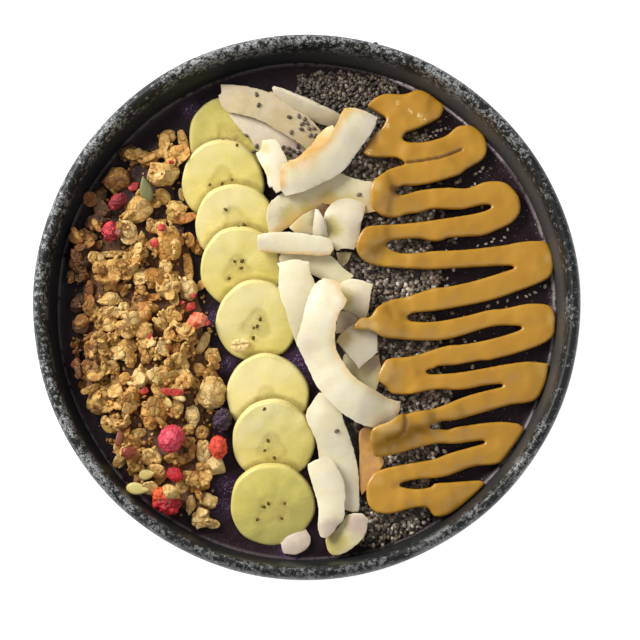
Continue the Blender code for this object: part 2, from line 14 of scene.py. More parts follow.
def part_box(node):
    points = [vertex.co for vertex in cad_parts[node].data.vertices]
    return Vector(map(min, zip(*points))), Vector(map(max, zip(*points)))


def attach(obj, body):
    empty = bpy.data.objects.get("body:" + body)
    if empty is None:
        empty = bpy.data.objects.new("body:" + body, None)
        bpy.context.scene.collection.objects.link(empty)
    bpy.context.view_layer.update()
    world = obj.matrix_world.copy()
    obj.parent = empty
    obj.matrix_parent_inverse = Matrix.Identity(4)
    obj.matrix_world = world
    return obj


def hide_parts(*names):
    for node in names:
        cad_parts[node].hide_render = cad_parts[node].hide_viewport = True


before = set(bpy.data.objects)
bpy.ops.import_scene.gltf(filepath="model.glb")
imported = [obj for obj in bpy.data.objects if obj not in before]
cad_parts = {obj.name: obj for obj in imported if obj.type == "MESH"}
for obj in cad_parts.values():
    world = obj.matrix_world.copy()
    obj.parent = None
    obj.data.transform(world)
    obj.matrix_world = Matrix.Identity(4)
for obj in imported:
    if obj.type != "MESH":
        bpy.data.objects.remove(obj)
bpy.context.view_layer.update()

MM = 0.001
DOUBLES = 0.00002  # how close two points of a closed shape merge, in metres

# The bowl's section, from the foot's axis out and up to the lip, then down the inner wall
OUTER_WALL = [
    (0.0, 3.6), (20.0, 3.4), (38.0, 3.1), (41.2, 2.8), (42.5, 0.6), (43.3, 0.0), (47.2, 0.0),
    (48.0, 0.8), (49.4, 3.0), (53.0, 5.6), (60.0, 9.0), (69.6, 14.6), (78.4, 21.7),
    (86.0, 30.4), (91.4, 39.2), (94.6, 47.4), (95.8, 53.4),
]
LIP = [
    (95.9, 56.6), (95.6, 58.9), (94.9, 60.6), (93.9, 61.6), (92.8, 61.9), (91.9, 61.5),
    (91.2, 60.4), (90.8, 58.6), (90.3, 56.0),
]
INNER_WALL = [
    (89.6, 53.0), (88.9, 49.6), (88.3, 44.4), (85.0, 33.6), (76.0, 24.6), (60.6, 17.0),
    (38.0, 11.6), (20.0, 9.9), (0.0, 9.5),
]
BOWL_STEPS = 240
BRIM_SHIFT = (0.15, 1.1)

ACAI_LEVEL = 47.0
ACAI_REACH = 88.95
ACAI_STEPS = 300


def clear_selection():
    """Leave edit mode and select nothing."""
    active = bpy.context.view_layer.objects.active
    if active and active.mode != "OBJECT":
        bpy.ops.object.mode_set(mode="OBJECT")
    bpy.ops.object.select_all(action="DESELECT")


def pick(obj):
    """Make one object the only one selected."""
    clear_selection()
    obj.select_set(True)
    bpy.context.view_layer.objects.active = obj


def edit(obj):
    """Enter an object's edit mode with all of it selected."""
    pick(obj)
    bpy.ops.object.mode_set(mode="EDIT")
    bpy.ops.mesh.select_all(action="SELECT")


def leave_edit():
    """Go back to object mode."""
    bpy.ops.object.mode_set(mode="OBJECT")


def apply_modifier(obj, kind, **settings):
    """Add a modifier and apply it."""
    modifier = obj.modifiers.new(kind.lower(), kind)
    for name, value in settings.items():
        setattr(modifier, name, value)
    pick(obj)
    bpy.ops.object.modifier_apply(modifier=modifier.name)


def new_primitive(name, add, **settings):
    """A primitive just added, named, with nothing else selected."""
    clear_selection()
    add(**settings)
    obj = bpy.context.active_object
    obj.name = name
    obj.data.name = name
    return obj


def new_object(name, data):
    """An object in the scene for some data."""
    obj = bpy.data.objects.new(name, data)
    bpy.context.scene.collection.objects.link(obj)
    return obj


def get_points(obj):
    """The object's vertices in millimetres."""
    flat = np.zeros(len(obj.data.vertices) * 3)
    obj.data.vertices.foreach_get("co", flat)
    return flat.reshape(-1, 3) / MM


def set_points(obj, points):
    """Move the object's vertices to these places in millimetres."""
    obj.data.vertices.foreach_set("co", (points * MM).ravel())
    obj.data.update()


def get_normals(obj):
    """The object's vertex normals."""
    flat = np.zeros(len(obj.data.vertices) * 3)
    obj.data.vertex_normals.foreach_get("vector", flat)
    return flat.reshape(-1, 3)


def push_out(obj, points, amounts):
    """Move the object's vertices to these places, pushed out along their normals."""
    moved = points + get_normals(obj) * amounts[:, None]
    set_points(obj, moved)
    return moved


def remesh(obj, voxel, rounds=0):
    """Build a mesh again from voxels, and smooth it."""
    apply_modifier(obj, "REMESH", mode="VOXEL", voxel_size=voxel * MM)
    if rounds:
        apply_modifier(obj, "SMOOTH", factor=0.5, iterations=rounds)


def thin(obj, faces):
    """Leave about this many triangles in a mesh."""
    quads = max(1, len(obj.data.polygons))
    apply_modifier(obj, "DECIMATE", ratio=min(1.0, faces / (2 * quads)))


def polar(points):
    """How far points lie from the upright axis, and their angle round it."""
    return np.hypot(points[:, 0], points[:, 1]), np.arctan2(points[:, 1], points[:, 0])


def set_values(obj, name, values):
    """Keep one number for each vertex of the mesh."""
    layer = obj.data.attributes.new(name, "FLOAT", "POINT")
    layer.data.foreach_set("value", np.asarray(values, dtype=np.float32))


def mesh_object(name, points, faces):
    """An object from points in millimetres."""
    mesh = bpy.data.meshes.new(name)
    mesh.from_pydata((np.asarray(points) * MM).tolist(), [], faces)
    mesh.update()
    return new_object(name, mesh)


def grain(points, size, shift=0.0):
    """Smooth noise between -1 and 1 whose bumps are about this many millimetres across."""
    places = points / size + shift
    return np.array([noise.noise(Vector(place)) for place in places])


def soft_step(low, high, values):
    """0 below low, 1 above high and smooth between."""
    share = np.clip((values - low) / (high - low), 0.0, 1.0)
    return share * share * (3 - 2 * share)


def merged_copy(node, name):
    """A new piece with a frame solid's mesh, its doubles merged and its faces in quads."""
    obj = new_object(name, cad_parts[node].data.copy())
    obj.data.name = name
    obj.data.materials.clear()
    pick(obj)
    if obj.data.has_custom_normals:
        bpy.ops.mesh.customdata_custom_splitnormals_clear()
    edit(obj)
    bpy.ops.mesh.remove_doubles(threshold=DOUBLES)
    bpy.ops.mesh.tris_convert_to_quads(face_threshold=math.radians(60),
                                       shape_threshold=math.radians(60))
    leave_edit()
    return obj


def rounded(outline, corner=55.0, step=1.0):
    """A closed outline with curves between its points, and its sharp corners kept."""
    points = np.array(outline, dtype=float)
    before = points - np.roll(points, 1, axis=0)
    after = np.roll(points, -1, axis=0) - points
    turn = np.degrees(np.abs(np.arctan2(before[:, 0] * after[:, 1] - before[:, 1] * after[:, 0],
                                        (before * after).sum(axis=1))))
    slope = before + after
    slope /= np.maximum(np.linalg.norm(slope, axis=1), 1e-6)[:, None]
    made = []
    for index in range(len(points)):
        following = (index + 1) % len(points)
        start, end = points[index], points[following]
        length = np.linalg.norm(end - start)
        first = after[index] if turn[index] > corner else slope[index] * length
        last = after[index] if turn[following] > corner else slope[following] * length
        count = max(1, int(round(length / step)))
        for share in np.arange(count) / count:
            square, cube = share ** 2, share ** 3
            made.append((2 * cube - 3 * square + 1) * start + (cube - 2 * square + share) * first
                        + (3 * square - 2 * cube) * end + (cube - square) * last)
    return np.array(made)


def drawn_line(name, path):
    """A line extruded point by point along a path."""
    line = new_primitive(name, bpy.ops.mesh.primitive_plane_add, size=MM)
    bpy.ops.object.mode_set(mode="EDIT")
    bpy.ops.mesh.select_mode(type="VERT")
    bpy.ops.mesh.select_all(action="SELECT")
    bpy.ops.mesh.merge(type="CENTER")
    bpy.ops.transform.translate(value=[side * MM for side in path[0]])
    for start, end in zip(path, path[1:]):
        bpy.ops.mesh.extrude_region_move(TRANSFORM_OT_translate={
            "value": [(after - before) * MM for before, after in zip(start, end)]})
    leave_edit()
    return line


def spin_round(obj, steps):
    """Spin a line round the upright axis into a closed shape."""
    edit(obj)
    bpy.ops.mesh.spin(steps=steps, angle=2 * math.pi, center=(0, 0, 0), axis=(0, 0, 1))
    bpy.ops.mesh.select_all(action="SELECT")
    bpy.ops.mesh.remove_doubles(threshold=DOUBLES)
    bpy.ops.mesh.normals_make_consistent(inside=False)
    leave_edit()


def drawn_face(name, outline, height):
    """A flat face, drawn corner by corner round its outline."""
    path = [(x, y, height) for x, y in outline]
    face = drawn_line(name, path + path[:1])
    edit(face)
    bpy.ops.mesh.remove_doubles(threshold=0.000005)
    bpy.ops.mesh.select_all(action="SELECT")
    bpy.ops.mesh.edge_face_add()
    leave_edit()
    if face.data.polygons[0].normal.z < 0:
        edit(face)
        bpy.ops.mesh.flip_normals()
        leave_edit()
    return face


def cut_squares(obj, step):
    """Cut a flat face into small squares, so that it can be curved."""
    points = get_points(obj)
    low, high = points.min(axis=0), points.max(axis=0)
    edit(obj)
    for axis in (0, 1):
        for place in np.arange(low[axis] + 0.6 * step, high[axis], step):
            middle = [place * MM if axis == way else 0.0 for way in range(3)]
            way = [1.0 if axis == side else 0.0 for side in range(3)]
            bpy.ops.mesh.select_all(action="SELECT")
            bpy.ops.mesh.bisect(plane_co=middle, plane_no=way)
    bpy.ops.mesh.select_all(action="SELECT")
    bpy.ops.mesh.remove_doubles(threshold=2 * DOUBLES)
    leave_edit()


class Surface:
    """The top of a frame solid, as a smooth height."""

    def __init__(self, node, steepest, reach):
        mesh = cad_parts[node].data
        corners = {corner for face in mesh.polygons if face.normal.z > steepest
                   for corner in face.vertices}
        self.points = np.array([mesh.vertices[corner].co for corner in sorted(corners)]) / MM
        self.reach = reach
        self.middle = self.points.mean(axis=0)
        terms = self.terms(self.points)
        self.fit = np.linalg.lstsq(terms, self.points[:, 2], rcond=None)[0]
        self.rest = self.points[:, 2] - terms @ self.fit

    def terms(self, points):
        """The curve's terms at some points."""
        x, y = ((points[:, :2] - self.middle[:2]) / 10).T
        return np.column_stack([np.ones_like(x), x, y, x * x, x * y, y * y])

    def at(self, points):
        """The height at some points."""
        heights = []
        for part in np.array_split(points, len(points) // 4000 + 1):
            span = ((part[:, None, :2] - self.points[None, :, :2]) ** 2).sum(axis=2)
            pull = 1 / (span + self.reach ** 2) ** 2
            heights.append(self.terms(part) @ self.fit + (pull * self.rest).sum(axis=1)
                           / pull.sum(axis=1))
        return np.concatenate(heights)


def stains_and_painted_light(points, spots, kinds):
    """How strong each kind of stain or painted light is at some points, from spots dabbed on."""
    values = {kind: np.zeros(len(points)) for kind in kinds}
    ragged = 1 + 0.45 * grain(points, 3.6, 21.0) + 0.2 * grain(points, 1.5, 4.0)
    for x, y, reach, kind, strength in spots:
        span = np.hypot(points[:, 0] - x, points[:, 1] - y) * ragged
        dab = strength * (1 - soft_step(0.25, 1.25, span / reach))
        values[kind] = np.maximum(values[kind], dab)
    return values


def smooth_faces(obj, degrees=None):
    """Shade smooth, or smooth but for edges sharper than the angle."""
    pick(obj)
    if degrees is None:
        bpy.ops.object.shade_smooth()
    else:
        bpy.ops.object.shade_smooth_by_angle(angle=math.radians(degrees))


def serve(piece, finish, nodes=()):
    """Finish a piece, and let it stand for its frame solids."""
    piece.data.materials.clear()
    piece.data.materials.append(finish)
    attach(piece, "root")
    if nodes:
        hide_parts(*nodes)
    return piece


class Wire:
    """A shader value that can be added, multiplied and so on like a number."""

    def __init__(self, finish, socket):
        self.finish = finish
        self.socket = socket

    def math(self, operation, first, second):
        return self.finish.node("ShaderNodeMath", {"operation": operation},
                                {0: first, 1: second})

    def __add__(self, other):
        return self.math("ADD", self, other)

    __radd__ = __add__

    def __sub__(self, other):
        return self.math("SUBTRACT", self, other)

    def __rsub__(self, other):
        return self.math("SUBTRACT", other, self)

    def __mul__(self, other):
        return self.math("MULTIPLY", self, other)

    __rmul__ = __mul__

    def __truediv__(self, other):
        return self.math("DIVIDE", self, other)

    def __pow__(self, other):
        return self.math("POWER", self, other)


class Finish:
    """A piece's material, built node by node round its Principled shader."""

    def __init__(self, name):
        self.material = bpy.data.materials.new(name)
        self.material.use_nodes = True
        self.tree = self.material.node_tree
        self.shader = self.tree.nodes["Principled BSDF"]
        self.place = self.node("ShaderNodeTexCoord", {}, {}, "Object")

    def link(self, socket, value):
        """Set a socket to a number or colour, or join a wire to it."""
        if isinstance(value, Wire):
            self.tree.links.new(value.socket, socket)
        else:
            socket.default_value = value

    def node(self, kind, settings, sockets, output=0):
        """Any node, from its type, its settings and its sockets' values."""
        made = self.tree.nodes.new(kind)
        for name, value in settings.items():
            setattr(made, name, value)
        for name, value in sockets.items():
            self.link(made.inputs[name], value)
        return Wire(self, made.outputs[output])

    def ramp(self, level, *stops):
        """The colour at a level between stops, each a place and a colour."""
        made = self.tree.nodes.new("ShaderNodeValToRGB")
        elements = made.color_ramp.elements
        while len(elements) < len(stops):
            elements.new(1.0)
        for element, (place, color) in zip(elements, stops):
            element.position = place
            element.color = (*color, 1.0)
        self.link(made.inputs["Fac"], level)
        return Wire(self, made.outputs[0])

    def value(self, name):
        """A number kept on the mesh."""
        return self.node("ShaderNodeAttribute", {"attribute_name": name}, {}, "Fac")

    def noise(self, size, detail=2.0, roughness=0.5, output=0):
        """Noise whose bumps are about this many millimetres across."""
        return self.node("ShaderNodeTexNoise", {}, {
            "Vector": self.place, "Scale": 1 / (size * MM), "Detail": detail,
            "Roughness": roughness}, output)

    def step(self, value, low, high):
        """0 below low, 1 above high and smooth between."""
        return self.node("ShaderNodeMapRange", {"interpolation_type": "SMOOTHSTEP"},
                         {"Value": value, "From Min": low, "From Max": high})

    def mix(self, factor, first, second):
        """A colour between two colours."""
        return self.node("ShaderNodeMix", {"data_type": "RGBA"}, {
            0: factor, 6: self.color(first), 7: self.color(second)}, 2)

    def multiply(self, color, share):
        """A colour times a number."""
        return self.node("ShaderNodeVectorMath", {"operation": "SCALE"},
                         {0: color, "Scale": share})

    @staticmethod
    def color(value):
        """A colour with its alpha, or the wire as it is."""
        return value if isinstance(value, Wire) else (*value, 1.0)

    def split(self, vector):
        """The three numbers of a vector."""
        made = self.tree.nodes.new("ShaderNodeSeparateXYZ")
        self.link(made.inputs[0], vector)
        return [Wire(self, output) for output in made.outputs]

    def bump(self, height, depth, before=None):
        """A surface relief this many millimetres deep."""
        sockets = {"Height": height, "Distance": depth * MM}
        if before:
            sockets["Normal"] = before
        return self.node("ShaderNodeBump", {}, sockets)

    def done(self, **sockets):
        """Join the wires to the shader's sockets, written with _ for spaces."""
        for name, value in sockets.items():
            label = name.replace("_", " ")
            if label == "Base Color":
                value = self.color(value)
            self.link(self.shader.inputs[label], value)
        return self.material


def glaze():
    """Charcoal glaze that breaks to pale grey mottles along the lip."""
    finish = Finish("speckled_charcoal_glaze")
    x, y, z = finish.split(finish.place)
    radius = (x * x + y * y) ** 0.5
    lip = finish.step(z, 0.0540, 0.0595) * finish.step(radius, 0.0900, 0.0915)
    patches = finish.noise(11.0, 1.0)
    mottle = finish.noise(1.7, 5.0, 0.72)
    flecks = finish.noise(0.65, 2.0, 0.6)
    # Painted reflection: the upper inner wall turns a lighter warm brown towards the right and the upper
    # right.
    painted_reflection = finish.step(x / radius + 0.4 * (y / radius), 0.1, 0.9)
    # Painted shade: the pale mottles thin out and dim on the right of the lip; they also thin out towards
    # the bottom.
    painted_shade_right = finish.step(x / radius, 0.72, 1.0)
    broken = finish.step(mottle + 0.38 * (patches - 0.5) - 0.06 * painted_shade_right, 0.47, 0.56) * lip
    low = finish.step(y / radius, -0.55, -0.95)
    broken = broken * (1 - 0.34 * painted_shade_right) * (1 - 0.38 * low)
    pits = finish.step(flecks, 0.43, 0.51)
    faint = finish.step(finish.noise(1.4, 3.0, 0.6), 0.60, 0.72)
    wall = finish.mix(faint, (0.0150, 0.0162, 0.0172), (0.033, 0.035, 0.036))
    wall = finish.mix(0.8 * painted_reflection * finish.step(z, 0.045, 0.056), wall, (0.075, 0.068, 0.060))
    fired = finish.mix(mottle, (0.006, 0.0065, 0.0065), (0.022, 0.023, 0.022))
    dark = finish.mix(lip, wall, fired)
    pale = finish.mix(finish.noise(1.1, 2.0), (0.11, 0.115, 0.11), (0.50, 0.505, 0.49))
    color = finish.mix(broken * (0.14 + 0.86 * pits), dark, pale)
    normal = finish.bump(mottle + 0.4 * flecks, 0.09)
    return finish.done(Base_Color=color, Roughness=0.32 + 0.22 * mottle, Normal=normal,
                       Specular_IOR_Level=0.26)


def make_bowl():
    """The bowl: its section extruded point by point and spun round the upright axis."""
    profile = OUTER_WALL + LIP + INNER_WALL
    bowl = drawn_line("stoneware_bowl", [(radius, 0.0, height) for radius, height in profile])
    apply_modifier(bowl, "SUBSURF", levels=2, render_levels=2)
    points = get_points(bowl)
    points[points[:, 0] < 0.4, 0] = 0.0
    set_points(bowl, points)
    spin_round(bowl, BOWL_STEPS)
    points = get_points(bowl)
    radius, angle = polar(points)
    high = soft_step(30.0, 60.0, points[:, 2])
    wobble = 0.12 * np.sin(3 * angle + 0.8) + 0.08 * np.sin(7 * angle) + 0.05 * np.sin(13 * angle)
    brim = soft_step(50.0, 58.0, points[:, 2])
    points[:, :2] *= (1 + (high * wobble + 0.4 * brim) / np.maximum(radius, 1.0))[:, None]
    points[:, 0] += BRIM_SHIFT[0] * brim
    points[:, 1] += BRIM_SHIFT[1] * brim
    points[:, 2] += high * 0.15 * np.sin(2 * angle + 1.0)
    set_points(bowl, points)
    smooth_faces(bowl, 60)
    return serve(bowl, glaze(), ["bowl"])


def sorbet():
    """Frozen acai: almost black aubergine, wet in places and frosty in others."""
    finish = Finish("frozen_acai")
    frost = finish.value("frost")
    grains = finish.noise(0.9, 3.0, 0.65)
    crystals = finish.noise(0.55, 2.0, 0.6)
    broad = finish.noise(14.0, 2.0)
    flesh = finish.mix(broad, (0.0085, 0.0026, 0.0048), (0.0170, 0.0046, 0.0085))
    sparkle = finish.step(crystals + 0.12 * frost, 0.66, 0.78) * (0.10 + 0.7 * frost)
    flesh = finish.mix(0.75 * frost, flesh, (0.050, 0.020, 0.060))
    color = finish.mix(sparkle, flesh, (0.34, 0.27, 0.42))
    # Painted highlight: a pale pink line on the meniscus where the fill meets the wall, broken by noise.
    creep_and_highlight = finish.value("creep_and_highlight") * finish.step(finish.noise(2.6, 3.0, 0.6), 0.34, 0.50)
    color = finish.mix(creep_and_highlight, color, (0.62, 0.52, 0.51))
    x = finish.split(finish.place)[0]
    ice = finish.step(finish.noise(0.75, 1.0), 0.735, 0.77) * finish.step(x, 0.030, 0.055)
    color = finish.mix(0.8 * ice, color, (0.70, 0.52, 0.60))
    normal = finish.bump(grains, 0.22, finish.bump(finish.noise(4.0, 2.0), 0.35))
    return finish.done(Base_Color=color, Roughness=0.30 + 0.25 * grains, Normal=normal,
                       Specular_IOR_Level=0.20)


# Frosty patches on the acai: x, y, reach
FROST = [
    (-28.5, -63.0, 4.0), (-29.0, -70.0, 3.5), (-2.0, -18.0, 4.5), (-1.5, -26.0, 3.5),
    (-5.0, -83.5, 5.0), (-33.0, -3.0, 3.0), (-29.0, -20.0, 3.0), (-44.0, 50.0, 2.5),
    (-44.0, -66.0, 2.5), (-34.0, 56.0, 2.5), (-42.0, 72.0, 3.0), (60.0, 30.0, 2.5),
]


def make_acai():
    """The fill: a spun disc that creeps up the wall at its edge, with a frozen relief."""
    profile = [(0.0, 0.0)] + [(radius, 0.0) for radius in np.arange(2.0, 87.0, 1.5)]
    profile += [(87.6, 0.25), (88.3, 0.8), (ACAI_REACH, 1.5), (ACAI_REACH - 0.2, -3.0),
                (80.0, -6.0), (0.0, -6.0)]
    acai = drawn_line("acai_fill", [(radius, 0.0, ACAI_LEVEL + rise) for radius, rise in profile])
    spin_round(acai, ACAI_STEPS)
    points = get_points(acai)
    radius, angle = polar(points)
    free = soft_step(ACAI_LEVEL - 1.0, ACAI_LEVEL, points[:, 2])
    free = free * (1 - soft_step(84.0, 88.0, radius))
    relief = 0.45 * grain(points, 13.0) + 0.22 * grain(points, 4.0, 7.0)
    creep_and_highlight = soft_step(87.0, 88.8, radius) * (points[:, 2] > ACAI_LEVEL) * 0.5
    points[:, 2] += free * relief + creep_and_highlight * (np.sin(5 * angle) + np.sin(11 * angle + 2.0))
    set_points(acai, points)
    frost = np.zeros(len(points))
    for x, y, reach in FROST:
        distance = np.hypot(points[:, 0] - x, points[:, 1] - y)
        frost = np.maximum(frost, 1 - soft_step(reach * 0.4, reach * 1.6, distance))
    set_values(acai, "frost", frost)
    # Where the painted meniscus highlight shows: strongest at the upper right and the right, faint all
    # round.
    upper_right = 1 - soft_step(0.20, 0.36, np.abs(angle - 0.95))
    right = 0.45 * (1 - soft_step(0.5, 0.9, np.abs(angle + 0.25)))
    edge = soft_step(87.9, 88.4, radius) * (points[:, 2] > ACAI_LEVEL)
    set_values(acai, "creep_and_highlight", edge * np.maximum(np.maximum(upper_right, right), 0.12))
    smooth_faces(acai)
    return serve(acai, sorbet(), ["acai"])


# Where the dark seeds sit in each slice, and the middle of its core
BANANA_SEEDS = {
    1: [(-32.9, 60.5), (-29.5, 60.0), (-24.5, 57.5)],
    2: [(-26.4, 45.8), (-34.4, 44.0), (-30.0, 44.4)],
    3: [(-28.6, 34.8), (-22.0, 29.6), (-24.0, 28.8)],
    4: [(-25.4, 16.4), (-22.7, 16.6), (-27.4, 10.6), (-23.0, 14.2)],
    5: [(-16.3, -4.0), (-17.4, -6.5), (-18.6, -7.0), (-18.8, -10.6)],
    6: [(-14.6, -36.0)],
    7: [(-13.4, -46.9), (-14.6, -50.4), (-11.2, -53.0)],
    8: [(-14.9, -70.1), (-13.3, -68.9), (-7.5, -68.8), (-17.2, -74.6), (-8.6, -74.2)],
}
BANANA_CORES = {
    1: (-28.0, 61.0), 2: (-29.8, 46.0), 3: (-24.6, 31.4), 4: (-24.4, 14.0), 5: (-17.4, -5.6),
    6: (-13.4, -33.4), 7: (-12.2, -49.6), 8: (-12.2, -71.6),
}
SLICE_RADIUS = 15.0
SLICE_THICKNESS = 4.6
SLICE_RINGS = 17
# How each slice's three-part core is turned, and how ripe the slice is
BANANA_TURNS = {1: 20, 2: 75, 3: 10, 4: 50, 5: 95, 6: 30, 7: 60, 8: 0}
BANANA_TONES = {1: 0.95, 2: 0.38, 3: 0.27, 4: 0.38, 5: 0.20, 6: 0.20, 7: 0.28, 8: 0.82}


def banana_flesh():
    """Ripe banana: cream to greenish yellow flesh with fine rays and a three-part core."""
    finish = Finish("ripe_banana")
    rim = finish.value("reach")
    core = finish.value("core")
    soft = finish.noise(5.0, 3.0)
    fine = finish.noise(0.8, 3.0, 0.6)
    rays = finish.node("ShaderNodeTexNoise", {}, {
        "Vector": finish.node("ShaderNodeUVMap", {"uv_map": "rays"}, {}),
        "Scale": 1.0, "Detail": 2.0, "Roughness": 0.5})
    # The tone holds painted shade towards each slice's lower right as well as ripeness.
    level = finish.value("tone") + 0.55 * (soft - 0.5) + 0.10 * (rays - 0.5)
    flesh = finish.ramp(level, (0.0, (0.90, 0.775, 0.360)), (0.30, (0.84, 0.710, 0.225)),
                        (0.60, (0.735, 0.625, 0.150)), (1.0, (0.530, 0.450, 0.115)))
    inner = finish.mix(core * (0.35 + 0.9 * soft), flesh, (0.57, 0.450, 0.110))
    edge = finish.mix(finish.step(rim + 0.1 * (soft - 0.5), 0.88, 0.97) * 0.60, inner,
                      (0.66, 0.560, 0.185))
    # Painted shadow: a dark olive line on a slice where the next slice lies over it.
    line = finish.value("line") * (0.3 + 1.1 * fine)
    edge = finish.mix(line, edge, (0.340, 0.265, 0.060))
    brown = finish.value("brown") * finish.step(finish.noise(2.2, 4.0, 0.7), 0.42, 0.62)
    color = finish.mix(brown, edge, (0.30, 0.20, 0.045))
    color = finish.mix(finish.value("side") * 0.45, color, (0.78, 0.590, 0.290))
    normal = finish.bump(fine, 0.08, finish.bump(rays, 0.08))
    return finish.done(Base_Color=color, Roughness=0.30 + 0.22 * fine, Normal=normal,
                       Subsurface_Weight=0.12, Subsurface_Radius=(0.0022, 0.0014, 0.0006),
                       Subsurface_Scale=1.0)


def slice_frame(node):
    """A slice's centre, axes, radius and thickness, from the frame."""
    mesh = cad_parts[node].data
    points = np.unique(np.round([v.co for v in mesh.vertices], 6), axis=0) / MM
    centre = points.mean(axis=0)
    normal = np.linalg.svd(points - centre)[2][2]
    normal = normal * np.sign(normal[2])
    along = np.array([1.0, 0.0, 0.0]) - normal[0] * normal
    along /= np.linalg.norm(along)
    axes = np.column_stack([along, np.cross(normal, along), normal])
    local = (points - centre) @ axes
    return centre, axes, np.hypot(local[:, 0], local[:, 1]).max(), np.ptp(local[:, 2])


def banana_blank():
    """One slice cut from a peeled banana, with rings for its relief."""
    blank = new_primitive("banana_blank", bpy.ops.mesh.primitive_cylinder_add, vertices=96,
                          radius=SLICE_RADIUS * MM, depth=SLICE_THICKNESS * MM,
                          end_fill_type="NGON")
    apply_modifier(blank, "BEVEL", width=0.0010, segments=4, limit_method="ANGLE",
                   angle_limit=math.radians(50))
    pick(blank)
    bpy.ops.object.mode_set(mode="EDIT")
    bpy.ops.mesh.select_mode(type="FACE")
    work = bmesh.from_edit_mesh(blank.data)
    work.faces.ensure_lookup_table()
    for face in work.faces:
        face.select_set(len(face.verts) > 50 and face.normal.z > 0.9)
    bmesh.update_edit_mesh(blank.data)
    for _ in range(SLICE_RINGS):
        bpy.ops.mesh.inset(thickness=0.00078)
    bpy.ops.mesh.poke()
    leave_edit()
    return blank


def make_bananas():
    """Eight slices, each cut from the blank with its own outline, core and tone."""
    blank = banana_blank()
    base = get_points(blank)
    flesh = banana_flesh()
    slices = []
    for number in range(1, 9):
        node = f"banana_{number}"
        centre, axes, radius, thickness = slice_frame(node)
        piece = new_object(f"banana_slice_{number}", blank.data.copy())
        points = base.copy()
        reach, angle = polar(points)
        reach /= SLICE_RADIUS
        turn = math.radians(BANANA_TURNS[number])
        swell = 1 + 0.014 * np.cos(3 * angle + turn) + 0.008 * np.cos(2 * angle + 2 * turn)
        swell += 0.008 * np.sin(5 * angle + number) + 0.005 * np.sin(9 * angle + 2 * number)
        points[:, :2] *= (swell * radius / 15.3)[:, None]
        points[:, 2] *= thickness / SLICE_THICKNESS
        upper = soft_step(0.0, thickness * 0.3, points[:, 2])
        core_place = (np.array([*BANANA_CORES[number], centre[2]]) - centre) @ axes
        span, around = polar(points[:, :2] - core_place[:2] * 0.8)
        lobes = 4.6 + 0.9 * np.cos(3 * around + turn + 0.5)
        core = 1 - soft_step(lobes * 0.72, lobes * 1.12, span)
        ring = np.exp(-((span - lobes) / 0.8) ** 2)
        relief = 0.28 * (1 - reach ** 2) - 0.16 * core - 0.14 * ring
        relief += 0.22 * grain(points + number * 31.0, 5.0)
        points[:, 2] += upper * relief
        world = points @ axes.T + centre
        set_points(piece, world)
        set_values(piece, "reach", reach * (points[:, 2] > 0))
        set_values(piece, "side", 1 - soft_step(-0.3, thickness * 0.35, points[:, 2]))
        set_values(piece, "core", core * 0.55 + ring * 0.5)
        # Painted shade: each slice's tone rises, darker and more olive, towards its lower right.
        lower_right_shade = (points[:, 0] * 0.55 - points[:, 1] * 0.85) / radius
        set_values(piece, "tone", np.clip(BANANA_TONES[number] + 0.32 * lower_right_shade, 0, 1))
        brown = np.zeros(len(points))
        if number == 1:
            spread = np.hypot(world[:, 0] + 27.5, (world[:, 1] - 59.5) * 1.5)
            brown = 1 - soft_step(2.0, 10.5, spread)
        for x, y in BANANA_SEEDS[number]:
            near = np.hypot(world[:, 0] - x, world[:, 1] - y)
            brown = np.maximum(brown, 0.55 * (1 - soft_step(0.6, 2.6, near)))
        set_values(piece, "brown", brown)
        # Painted shadow along the edge of the next slice, which lies over this one.
        line = np.zeros(len(points))
        if number < 8:
            following = slice_frame(f"banana_{number + 1}")
            gap = np.hypot(*(world[:, :2] - following[0][:2]).T) - following[2]
            line = 0.75 * (1 - soft_step(0.3, 2.2, gap + 0.5 * grain(world, 2.5)))
        set_values(piece, "line", line * upper)
        rays = piece.data.uv_layers.new(name="rays")
        loops = np.zeros(len(piece.data.loops), dtype=int)
        piece.data.loops.foreach_get("vertex_index", loops)
        coords = np.column_stack([around * 9.0, span * 0.16])[loops]
        rays.data.foreach_set("uv", coords.astype(np.float32).ravel())
        smooth_faces(piece)
        slices.append(serve(piece, flesh, [node]))
    bpy.data.objects.remove(blank)
    return slices


class Ground:
    """What already lies in the bowl, seen from above."""

    def __init__(self):
        self.trees = []

    def lay(self, *pieces):
        """Add some pieces."""
        for piece in pieces:
            depsgraph = bpy.context.evaluated_depsgraph_get()
            self.trees.append((piece.name, BVHTree.FromObject(piece, depsgraph)))

    def at(self, x, y):
        """The top piece at a place: its height, its normal and its name."""
        best = (ACAI_LEVEL - 2.0, Vector((0, 0, 1)), "")
        start = Vector((x * MM, y * MM, 0.1))
        for name, tree in self.trees:
            place, normal, _, _ = tree.ray_cast(start, Vector((0, 0, -1)))
            if place is not None and place.z / MM > best[0]:
                best = (place.z / MM, normal if normal.z > 0 else -normal, name)
        return best


